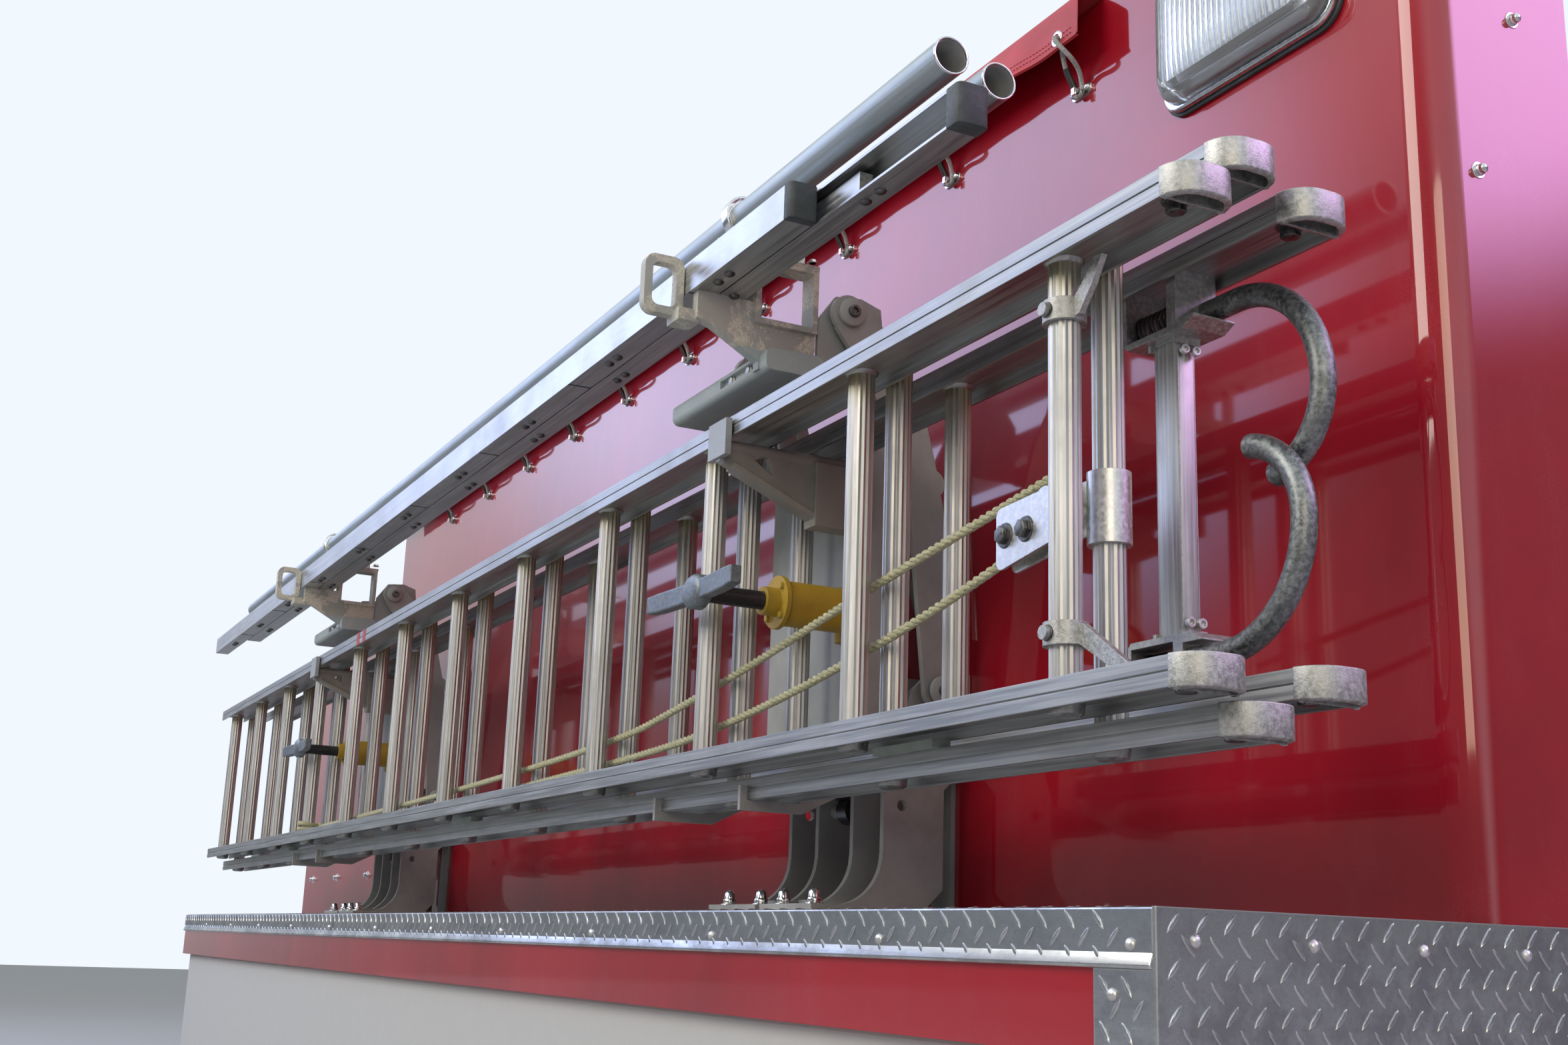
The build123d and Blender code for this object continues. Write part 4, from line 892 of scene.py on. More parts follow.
    @classmethod
    def row(cls, piece: Piece, count: int, step: Sequence[float]) -> Piece:
        """Repeat a piece along a step.

        Args:
            piece: the object.
            count: how many there are.
            step: from one to the next.

        Returns:
            The same object.
        """
        return cls.apply(
            piece, "ARRAY", count=count, use_relative_offset=False, use_constant_offset=True,
            constant_offset_displace=step,
        )

    @classmethod
    def join(cls, name: str, pieces: Iterable[Piece]) -> Piece:
        """Make one piece of several objects.

        Args:
            name: name of the piece.
            pieces: the objects.

        Returns:
            The joined object.
        """
        several = list(pieces)
        cls.take(several[0])
        for other in several[1:]:
            other.select_set(True)
        if len(several) > 1:
            bpy.ops.object.join()
        several[0].name = name
        return several[0]

    @classmethod
    def stamp(
        cls, master: Piece, seat: Sequence[float], way: Sequence[float] = UP, spin: float = 0.0,
    ) -> Piece:
        """Copy of a master that was made at the origin along +Z.

        Args:
            master: the object that is copied.
            seat: where its foot goes.
            way: direction that its +Z takes.
            spin: turn about that direction, in degrees.

        Returns:
            The copy.
        """
        cls.take(master)
        bpy.ops.object.duplicate(linked=False)
        made = bpy.context.active_object
        turn = Vector(UP).rotation_difference(Vector(way)) @ Quaternion(UP, radians(spin))
        made.rotation_euler = turn.to_euler()
        made.location = seat
        return cls.seat(made)

    @staticmethod
    def drop(piece: Piece) -> None:
        """Remove an object that was only a master or a cutter."""
        bpy.data.objects.remove(piece)

    @classmethod
    def coil(
        cls, name: str, centre: Sequence[float], radius: float, wire: float, turns: int, length: float,
    ) -> Piece:
        """Coil spring along X, a ring of wire carried round by an applied screw.

        Args:
            name: name of the piece.
            centre: middle of its first end.
            radius: radius of the coil's centreline.
            wire: radius of the wire.
            turns: number of turns.
            length: how far it runs.

        Returns:
            The object.
        """
        piece = cls.begin(
            name, bpy.ops.mesh.primitive_circle_add, vertices=8, radius=wire, location=(0, 0, radius),
            rotation=(pi / 2, 0, 0),
        )
        cls.apply(
            piece, "SCREW", axis="X", angle=2 * pi, screw_offset=length / turns, iterations=turns,
            steps=20, render_steps=20, use_merge_vertices=False,
        )
        cls.open(piece)
        cls.face_out()
        piece.location = centre
        return cls.seat(piece)

    @classmethod
    def smooth(cls, piece: Piece, angle: float) -> None:
        """Smooth shading below an angle in degrees."""
        cls.take(piece)
        bpy.ops.object.shade_smooth_by_angle(angle=radians(angle))


# Fasteners


class Hardware:
    """Nuts, bolts and rivets, each made once at the origin along +Z."""

    @staticmethod
    def _hexagon(radius: float, tall: float, edge: float, steps: int) -> Piece:
        """Six-sided block with softened edges, its foot at the origin.

        Args:
            radius: across the corners, halved.
            tall: its height.
            edge: width of the bevel.
            steps: segments of the bevel.

        Returns:
            The object.
        """
        block = Bench.begin(
            "hexagon", bpy.ops.mesh.primitive_cylinder_add, vertices=6, radius=radius, depth=tall,
            location=(0, 0, tall / 2),
        )
        return Bench.bevel(block, edge, steps)

    @staticmethod
    def _washer(tall: float, top: float, foot: float) -> Piece:
        """Low round washer with a sloping rim."""
        return Bench.lathe("washer", [(0, tall), (top, tall), (foot, 0), (0, 0)], sides=18)

    @classmethod
    def acorn(cls, radius: float, tall: float) -> Piece:
        """Domed nut on a round washer.

        Args:
            radius: across the hexagon's corners, halved.
            tall: height of the whole nut.

        Returns:
            The object.
        """
        base = tall * 0.42
        shoulder = base * 0.9
        nut = cls._hexagon(radius, base, radius * 0.1, 1)
        dome = [
            (0, tall), (radius * 0.42, tall * 0.96), (radius * 0.72, tall * 0.78), (radius * 0.8, shoulder),
            (0, shoulder),
        ]
        cap = Bench.lathe("dome", dome, sides=14)
        return Bench.join("acorn", [nut, cap, cls._washer(radius * 0.16, radius * 1.28, radius * 1.36)])

    @classmethod
    def hex_head(cls, radius: float, tall: float) -> Piece:
        """Hexagon head with chamfered corners on a washer.

        Args:
            radius: across the hexagon's corners, halved.
            tall: height of the head.

        Returns:
            The object.
        """
        head = cls._hexagon(radius, tall, radius * 0.12, 2)
        return Bench.join("hex_head", [head, cls._washer(radius * 0.2, radius * 1.3, radius * 1.4)])

    @staticmethod
    def socket(radius: float, tall: float) -> Piece:
        """Round head with a hollow in its top.

        Args:
            radius: its radius.
            tall: its height.

        Returns:
            The object.
        """
        profile = [
            (0, tall * 0.3), (radius * 0.46, tall * 0.3), (radius * 0.5, tall), (radius * 0.86, tall),
            (radius, tall * 0.82), (radius, 0), (0, 0),
        ]
        return Bench.lathe("socket", profile, sides=18)

    @staticmethod
    def rivet(radius: float, tall: float, sides: int = 10) -> Piece:
        """Low domed rivet."""
        profile = [(0, tall), (radius * 0.5, tall * 0.86), (radius * 0.86, tall * 0.5), (radius, 0), (0, 0)]
        return Bench.lathe("rivet", profile, sides=sides)

    @staticmethod
    def set_of(
        name: str, master: Piece, seats: Sequence[Sequence[float]], way: Sequence[float] = UP,
        spin: float = 17.0,
    ) -> Piece:
        """One piece made of a master's copies, each turned a little further.

        Args:
            name: name of the piece.
            master: what is copied, and then dropped.
            seats: where each copy stands.
            way: direction of every copy.
            spin: degrees added from one to the next.

        Returns:
            The joined piece.
        """
        copies = [Bench.stamp(master, seat, way, spin * i) for i, seat in enumerate(seats)]
        Bench.drop(master)
        return Bench.join(name, copies)


# Finishing


NODE_FINISHES = {"top_bracket": "bracket_paint", "upper_cradle": "cradle_paint"}


class Workshop:
    """Hands out finishes, seats pieces on their bodies and logs them."""

    def __init__(self) -> None:
        """Start with all finishes on the shelf."""
        self.shelf = FinishShelf()
        self.slots = {row["node"]: row["material_slot"] for row in frame["record"]["subparts"]}

    def paint_nodes(self) -> None:
        """Give every CAD node its slot's finish."""
        for name, node in frame["nodes"].items():
            finish = NODE_FINISHES.get(name.rstrip("_0123456789"), self.slots[name])
            node.data.materials.clear()
            node.data.materials.append(self.shelf.get(finish))
            node.data.shade_smooth()
            Bench.smooth(node, 28.0)

    def add(
        self, piece: Piece, body: str, slot: str, replaces: Sequence[str] = (),
        smooth: float = 35.0,
    ) -> Piece:
        """Finish a piece and hang it on its body.

        Args:
            piece: the object, in its place.
            body: body that it moves with.
            slot: material slot of its finish.
            replaces: nodes that it stands for.
            smooth: angle below which it is shaded smooth.

        Returns:
            The same object.
        """
        piece.data.materials.clear()
        piece.data.materials.append(self.shelf.get(slot))
        if piece.type == "MESH":
            Bench.smooth(piece, smooth)
        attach(piece, body)
        if replaces:
            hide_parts(*replaces)
        LOG.info("%s on %s", piece.name, body)
        return piece

    def fit(
        self, name: str, master: Piece, seats: Sequence[Sequence[float]], way: Sequence[float],
        body: str, slot: str,
    ) -> None:
        """Hang copies of a fastener on a body as one piece.

        Args:
            name: name of the piece.
            master: the fastener, made at the origin.
            seats: where each copy stands.
            way: direction of every copy.
            body: body that they move with.
            slot: material slot of their finish.
        """
        self.add(Hardware.set_of(name, master, seats, way), body, slot)


# Cords


@dataclass
class Line:
    """Smooth line of a cord on its own route points."""

    name: str
    points: tuple[Point, ...]
    radius: float
    sides: int = 3

    def curve(self) -> Piece:
        """The cord itself, a NURBS spline with a round section."""
        piece = self._spline(self.radius)
        bpy.context.scene.collection.objects.link(piece)
        return piece

    def _spline(self, bevel: float) -> Piece:
        """Unlinked curve object on the route points.

        Args:
            bevel: radius of its section.

        Returns:
            The object.
        """
        data = bpy.data.curves.new(self.name, "CURVE")
        data.dimensions = "3D"
        data.resolution_u = 24
        data.bevel_depth = bevel
        data.bevel_resolution = self.sides
        data.use_fill_caps = True
        spline = data.splines.new("NURBS")
        spline.points.add(len(self.points) - 1)
        for point, place in zip(spline.points, self.points):
            point.co = (*place, 1.0)
        spline.order_u = 3
        spline.use_endpoint_u = True
        return bpy.data.objects.new(self.name, data)

    def walk(self) -> list[Vector]:
        """Points of the smooth line, as Blender gives them for a curve with no section.

        Returns:
            The points.
        """
        piece = self._spline(0.0)
        mesh = bpy.data.meshes.new_from_object(piece)
        walked = [point.co.copy() for point in mesh.vertices]
        bpy.data.meshes.remove(mesh)
        bpy.data.objects.remove(piece)
        return walked

    @staticmethod
    def length(points: Sequence[Vector]) -> float:
        """Length along points."""
        return sum((b - a).length for a, b in zip(points, points[1:]))


@dataclass
class LaidRope:
    """Three-strand rope twisted round a smooth line."""

    line: Line
    strands: int = 3
    lay: float = 0.034
    step: float = 0.0034
    thick: float = 0.52

    def _even(self, points: Sequence[Vector]) -> list[Vector]:
        """The line's points at even steps.

        Args:
            points: points of the line.

        Returns:
            The even points.
        """
        even = [points[0]]
        left = self.step
        for a, b in zip(points, points[1:]):
            run = (b - a).length
            at = 0.0
            while run - at >= left:
                at += left
                even.append(a.lerp(b, at / run))
                left = self.step
            left -= run - at
        even.append(points[-1])
        return even

    def build(self) -> tuple[Piece, list[Vector]]:
        """Make the strands as one mesh.

        Returns:
            The rope and the points that it follows.
        """
        walked = self.line.walk()
        even = self._even(walked)
        strand_r = self.line.radius * self.thick
        orbit = self.line.radius - strand_r
        data = bpy.data.curves.new("strands", "CURVE")
        data.dimensions = "3D"
        data.bevel_depth = strand_r
        data.bevel_resolution = 1
        data.use_fill_caps = True
        for strand in range(self.strands):
            spline = data.splines.new("POLY")
            spline.points.add(len(even) - 1)
            side = Vector(OUT)
            for i, place in enumerate(even):
                ahead = even[min(i + 1, len(even) - 1)] - even[max(i - 1, 0)]
                along = ahead.normalized()
                side = (side - along * side.dot(along)).normalized()
                turn = 2 * pi * (i * self.step / self.lay + strand / self.strands)
                out = side * cos(turn) + along.cross(side) * sin(turn)
                spline.points[i].co = (*(place + out * orbit), 1.0)
        helper = bpy.data.objects.new("strands", data)
        mesh = bpy.data.meshes.new_from_object(helper)
        bpy.data.objects.remove(helper)
        rope = bpy.data.objects.new(self.line.name, mesh)
        bpy.context.scene.collection.objects.link(rope)
        return rope, walked


# Sub-assemblies

RUNG_PITCH = 0.3556
FIRST_RUNG = 2.085
STATIONS = (1.34, 1.34 - 6 * RUNG_PITCH)


@dataclass
class HalyardGear:
    """Halyard between the fly and the bed, its knots, and the bolts of pulley and rung locks."""

    shop: Workshop
    rope_y: float = -142.0
    rope_radius: float = 0.005
    route: tuple[tuple[float, float], ...] = (
        (-745, 302), (919, 322), (1366, 376), (1726, 436), (1994, 474), (2058, 484), (2058, 434),
        (1994, 425), (1795, 381), (1453, 331), (1100, 306), (200, 294.3),
    )
    hitch_x: float = -0.7598
    hitch_turns: tuple[tuple[float, float], ...] = ((0.2975, 0.10), (0.3065, -0.12))
    hitch_r: tuple[float, float] = (0.0195, 0.0047)
    hitch_knot: Point = (-0.7473, -0.1445, 0.302)
    knot_turns: tuple[Point, ...] = ((0.3, 1.2, 0.0), (1.3, 0.2, 0.5), (0.8, 0.8, 1.4))
    knot_r: tuple[float, float] = (0.0066, 0.0042)
    end_knot: Point = (0.196, -0.142, 0.297)
    fly_y: float = -0.165
    pulley_bolts: tuple[Point, ...] = ((1.9765, -0.152, 0.438), (2.0085, -0.152, 0.438))
    lock_bolts: tuple[Point, ...] = ((FIRST_RUNG, -0.1838, 0.612), (FIRST_RUNG, -0.1838, 0.33))

    def rope(self) -> tuple[Piece, list[Vector]]:
        """The laid rope and the points that it follows."""
        points = tuple(mm(x, self.rope_y, z) for x, z in self.route)
        return LaidRope(Line("halyard_rope", points, self.rope_radius)).build()

    def hitch(self) -> Piece:
        """Two turns round the fly's rung and a knot in front of them.

        Returns:
            The object.
        """
        turns = [
            Bench.begin(
                "turn", bpy.ops.mesh.primitive_torus_add, location=(self.hitch_x, self.fly_y, z),
                rotation=(tip, 0.06, 0), major_radius=self.hitch_r[0], minor_radius=self.hitch_r[1],
                major_segments=32, minor_segments=10,
            )
            for z, tip in self.hitch_turns
        ]
        return Bench.join("halyard_hitch", [*turns, self.knot(self.hitch_knot)])

    def knot(self, centre: Sequence[float]) -> Piece:
        """Small stopper knot of three tight loops.

        Args:
            centre: its middle.

        Returns:
            The object.
        """
        loops = [
            Bench.begin(
                "loop", bpy.ops.mesh.primitive_torus_add, location=centre, rotation=turn,
                major_radius=self.knot_r[0], minor_radius=self.knot_r[1],
                major_segments=20, minor_segments=9,
            )
            for turn in self.knot_turns
        ]
        return Bench.join("halyard_knot", loops)

    def dress(self) -> None:
        """Lay the rope, tie its ends and fit the bolts."""
        rope, walked = self.rope()
        hitch = self.shop.add(self.hitch(), "carrier", "rope")
        knot = self.shop.add(self.knot(self.end_knot), "carrier", "rope")
        self.shop.add(rope, "carrier", "rope", ["halyard"], 60.0)
        Line.length(walked)
        pulley, lock = Hardware.hex_head(0.0086, 0.0072), Hardware.hex_head(0.0052, 0.0036)
        self.shop.fit("pulley_bolts", pulley, self.pulley_bolts, OUT, "carrier", "dark_steel")
        self.shop.fit("lock_bolts", lock, self.lock_bolts, OUT, "carrier", "dark_steel")


@dataclass
class CoverEdge:
    """Vinyl edge of the hose-bed cover with its stitching, grommets and elastic loops."""

    shop: Workshop
    left: float = -1.335
    right: float = 1.735
    fold_z: float = 1.192
    front_y: float = 0.1125
    back_y: float = 0.193
    hang: float = 0.058
    lean: float = 0.0045
    bend: float = 0.005
    hook_first: float = 1.695
    hook_pitch: float = 0.288
    hook_count: int = 10
    hook_z: float = 1.085
    eye_z: float = 1.1455
    hook_y: float = 0.144
    loop_radius: float = 0.003
    taped: tuple[float, float] = (0.68, 0.9)
    columns: int = 420
    rows: int = 16
    thick: float = 0.0012
    stitch: Point = (0.0023, 0.0006, 0.0006)
    stitch_pitch: float = 0.0062
    stitch_inset: float = 0.006
    screw_aside: float = 0.0135
    screw_y: float = 0.145

    def hooks(self) -> list[float]:
        """X of each hook."""
        return [self.hook_first - self.hook_pitch * i for i in range(self.hook_count)]

    def face_top(self) -> float:
        """Height at which the hanging face starts."""
        return self.fold_z - self.lean - self.bend

    def face_tall(self) -> float:
        """Height of the hanging face above the rolled hem."""
        return self.hang - self.lean - self.bend - 0.003

    def ripple(self, x: float, drop: float) -> tuple[float, float]:
        """How far the hanging cloth stands off and hangs lower.

        Args:
            x: place along the wall.
            drop: depth below the fold as a share of the hang.

        Returns:
            Steps along Y and Z.
        """
        phase = 2 * pi * (x - self.hook_first) / self.hook_pitch
        out = 0.0028 * (1 - cos(phase)) + 0.0008 * sin(3.1 * phase + 1.0)
        return -out * drop, 0.0022 * cos(phase) * -drop

    def cloth(self) -> Piece:
        """The sheet itself: a grid laid over the top edge, folded and hemmed.

        Returns:
            The object.
        """
        sheet = Bench.begin(
            "cover_edge", bpy.ops.mesh.primitive_grid_add, x_subdivisions=self.columns,
            y_subdivisions=self.rows, size=1.0,
        )
        profile = self.profile(self.rows + 1)
        for point in sheet.data.vertices:
            x = self.left + (self.right - self.left) * (point.co.x + 0.5)
            y, z, drop = profile[round((point.co.y + 0.5) * self.rows)]
            dy, dz = self.ripple(x, drop)
            point.co = (x, y + dy, z + dz)
        return Bench.thicken(sheet, self.thick, 0.0)

    def profile(self, count: int) -> list[tuple[float, float, float]]:
        """Section of the sheet from the back over the fold to the rolled hem.

        Args:
            count: number of points.

        Returns:
            (y, z, share of the hang) of each point.
        """
        line = [
            (self.back_y, self.fold_z, 0.0), (0.155, self.fold_z, 0.0),
            (0.13, self.fold_z - self.lean * 0.4, 0.0),
        ]
        for turn in (0, 30, 60, 90):
            angle = radians(turn)
            line.append((
                self.front_y + self.bend * (1 - sin(angle)), self.face_top() + self.bend * cos(angle), 0.0,
            ))
        flat = count - len(line) - 4
        for i in range(1, flat + 1):
            drop = i / flat
            line.append((self.front_y, self.face_top() - self.face_tall() * drop, drop))
        foot = line[-1]
        for y, z in ((-0.0016, -0.0012), (-0.0022, -0.0032), (0.0, -0.0046), (0.0016, -0.003)):
            line.append((foot[0] + y, foot[1] + z, 1.0))
        return line

    def stitching(self) -> Piece:
        """Two rows of stitches above the hem, following the cloth.

        Returns:
            The object.
        """
        stitch = Bench.begin(
            "cover_stitches", bpy.ops.mesh.primitive_uv_sphere_add, self.stitch, segments=6, ring_count=4,
            radius=1.0,
        )
        low = self.fold_z - self.hang + 0.008
        stitch.location = (self.left + self.stitch_inset, self.front_y - 0.0008, low)
        Bench.seat(stitch)
        seam = self.right - self.left - 2 * self.stitch_inset
        Bench.row(stitch, 2, (0, 0, self.stitch_pitch))
        Bench.row(stitch, int(seam / self.stitch_pitch), (self.stitch_pitch, 0, 0))
        for point in stitch.data.vertices:
            drop = (self.face_top() - point.co.z) / self.face_tall()
            dy, dz = self.ripple(point.co.x, drop)
            point.co.y += dy
            point.co.z += dz
        return stitch

    def grommets(self) -> Piece:
        """Rolled steel eyes in the cloth, one over each hook.

        Returns:
            The object.
        """
        lip = [(0.0052, 0), (0.0056, 0.0014), (0.0075, 0.0019), (0.0098, 0.0012), (0.0104, 0), (0.0052, 0)]
        eye = Bench.lathe("eye", lip, sides=20)
        seats = [(x, self.front_y - 0.0006, self.eye_z) for x in self.hooks()]
        return Hardware.set_of("cover_grommets", eye, seats, OUT)

    def loop(self, index: int, x: float) -> None:
        """One elastic loop from its grommet round its hook and back.

        Args:
            index: number of the loop.
            x: place of its hook.
        """
        z = self.hook_z
        y = self.hook_y
        eye = self.eye_z
        points = (
            (x + 0.001, self.front_y + 0.0045, eye), (x + 0.002, self.front_y - 0.0095, eye + 0.0005),
            (x + 0.012, self.front_y - 0.0085, eye - 0.015), (x + 0.0185, self.front_y + 0.006, eye - 0.031),
            (x + 0.0125, y - 0.009, z + 0.020),
            (x + 0.0068, y - 0.001, z + 0.006), (x + 0.0066, y, z - 0.0066), (x - 0.0066, y, z - 0.0066),
            (x - 0.0068, y - 0.001, z + 0.006), (x - 0.0095, y - 0.009, z + 0.022),
            (x - 0.0085, self.front_y + 0.014, eye - 0.020), (x - 0.001, self.front_y + 0.0045, eye),
        )
        line = Line(f"elastic_loop_{index}", points, self.loop_radius)
        walked = line.walk()
        cord = self.shop.add(line.curve(), "body_side", "shock_cord", ["shock_loops"])
        first, last = (int(len(walked) * share) for share in self.taped)
        wound = tuple(tuple(point) for point in walked[first:last:4])
        wrap = Line(f"loop_tape_{index}", wound, self.loop_radius + 0.0011)
        sleeve = self.shop.add(wrap.curve(), "body_side", "spring_steel")
        Line.length(walked)

    def dress(self) -> None:
        """Lay the cloth, sew it and hook its loops."""
        for index, x in enumerate(self.hooks(), 1):
            self.loop(index, x)
        sheet = self.shop.add(self.cloth(), "body_side", "cover", ["cover_flap"], 50.0)
        stitches = self.shop.add(self.stitching(), "body_side", "thread")
        eyes = self.shop.add(self.grommets(), "body_side", "chrome")
        sides = (-self.screw_aside, self.screw_aside)
        screws = [(x + aside, self.screw_y, self.hook_z) for x in self.hooks() for aside in sides]
        head = Hardware.rivet(0.0046, 0.0032, 12)
        self.shop.fit("hook_screws", head, screws, OUT, "body_side", "chrome")


@dataclass(frozen=True)
class TreadField:
    """One face of tread plate: where its raised bars start and how they repeat."""

    name: str
    start: Point
    way: Point
    tilt: float
    rows: int
    count: int
    step: Point
    shift: Point


@dataclass
class BodySide:
    """Tread plate pattern, rivets and nuts of the body side."""

    shop: Workshop
    left: float = -2.205
    right: float = 2.207
    lip_y: float = -0.185
    top_z: float = 0.11
    rear_x: float = 2.218
    bar: Point = (0.0026, 0.0118, 0.0024)
    bar_sunk: float = 0.3
    along: float = 0.036
    across: float = 0.0133
    rear_pitch: float = 0.0266
    rear_rows: float = 0.0165
    hem_x: float = -2.215
    hem_long: float = 4.43
    rivet_first: Point = (2.19, -0.185, 0.0825)
    rivet_pitch: float = 0.366
    rivet_count: int = 12
    leg_rivet: Point = (2.168, -0.185, 0.046)
    corner_first: Point = (2.218, -0.148, 0.086)
    corner_pitch: float = 0.115
    corner_count: int = 5
    rear_nuts: tuple[Point, ...] = ((2.215, 0.264, 0.956), (2.215, 0.205, 0.786))
    panel_nuts: tuple[Point, ...] = ((-1.797, 0.15, 0.225), (-1.45, 0.15, 0.225), (-2.1, 0.15, 0.225))

    def lozenge(self) -> Piece:
        """One raised bar of the pattern, long along Y, its flat foot at the origin.

        Returns:
            The object.
        """
        bar = Bench.begin(
            "lozenge", bpy.ops.mesh.primitive_uv_sphere_add, self.bar, segments=8, ring_count=4, radius=1.0,
        )
        foot = self.bar[2] * self.bar_sunk
        Bench.open(bar, "SELECT")
        bpy.ops.mesh.bisect(plane_co=(0, 0, foot), plane_no=UP, clear_inner=True)
        bpy.ops.mesh.select_all(action="SELECT")
        bpy.ops.transform.translate(value=(0, 0, -foot - 0.0001))
        Bench.close()
        return bar

    def fields(self) -> tuple[TreadField, ...]:
        """The ledge's top, its lip, and the rear corner's two faces.

        Returns:
            The four faces.
        """
        many = int((self.right - self.left) / self.along)
        run = (self.along, 0, 0)
        down = (0, 0, -self.rear_rows)
        top = (self.left, self.lip_y + 0.009, self.top_z)
        lip = (self.left, self.lip_y, self.top_z - 0.0095)
        rear = (self.rear_x, self.lip_y + 0.017, 0.099)
        leg = (2.158, self.lip_y, 0.052)
        return (
            TreadField("ledge_pattern", top, UP, 42, 24, many, run, (0, self.across, 0)),
            TreadField("lip_pattern", lip, OUT, 42, 3, many, run, (0, 0, -self.across)),
            TreadField("corner_pattern", rear, REAR, 52, 6, 19, (0, self.rear_pitch, 0), down),
            TreadField("leg_pattern", leg, OUT, 38, 3, 2, (self.rear_pitch, 0, 0), down),
        )

    def lay(self, field: TreadField) -> Piece:
        """Rows of bars that tilt one way and the other in turn.

        Args:
            field: the face that they cover.

        Returns:
            The joined piece.
        """
        master = self.lozenge()
        kinds = []
        for parity, lean in enumerate((field.tilt, -field.tilt)):
            half = Vector(field.step) * (0.5 * parity)
            place = Vector(field.start) + Vector(field.shift) * parity + half
            bar = Bench.stamp(master, place, field.way, lean)
            Bench.row(bar, field.count, field.step)
            Bench.row(bar, (field.rows + 1 - parity) // 2, Vector(field.shift) * 2)
            kinds.append(bar)
        Bench.drop(master)
        return Bench.join(field.name, kinds)

    def hem(self) -> Piece:
        """Lower edge of the lip, kicked out and rolled under.

        Returns:
            The object.
        """
        y, low = self.lip_y, self.top_z - 0.045
        section = ((0.001, 0.0145), (-0.0032, 0.0026), (-0.0026, 0.0003), (0.001, -0.0002))
        outline = [(self.hem_x, y + dy, low + dz) for dy, dz in section]
        return Bench.bevel(Bench.plate("lip_hem", outline, (self.hem_long, 0, 0)), 0.0009, 2)

    def fasteners(self) -> None:
        """Rivets of the lip and the corner, and the acorn nuts of wall and panel."""
        x, y, z = self.rivet_first
        lip = [(x - self.rivet_pitch * i, y, z) for i in range(self.rivet_count)]
        head = Hardware.rivet(0.0052, 0.0036)
        self.shop.fit("lip_rivets", head, [*lip, self.leg_rivet], OUT, "body_side", "pulley_zinc")
        x, y, z = self.corner_first
        rear = [(x, y + self.corner_pitch * i, z) for i in range(self.corner_count)]
        head = Hardware.rivet(0.0054, 0.0038)
        self.shop.fit("corner_rivets", head, rear, REAR, "body_side", "pulley_zinc")
        nut = Hardware.acorn(0.0062, 0.0095)
        self.shop.fit("rear_bolts", nut, self.rear_nuts, REAR, "body_side", "chrome")
        nut = Hardware.acorn(0.008, 0.012)
        self.shop.fit("panel_bolts", nut, self.panel_nuts, OUT, "body_side", "chrome")

    def dress(self) -> None:
        """Make the pattern, the hem and the fasteners."""
        for piece in [self.lay(field) for field in self.fields()]:
            self.shop.add(piece, "body_side", "tread")
        self.shop.add(self.hem(), "body_side", "tread")
        self.fasteners()


@dataclass(frozen=True)
class LadderLine:
    """Where one ladder's rungs and rails lie."""

    name: str
    y: float
    webs: tuple[float, float]
    rungs: int
    first: float = FIRST_RUNG


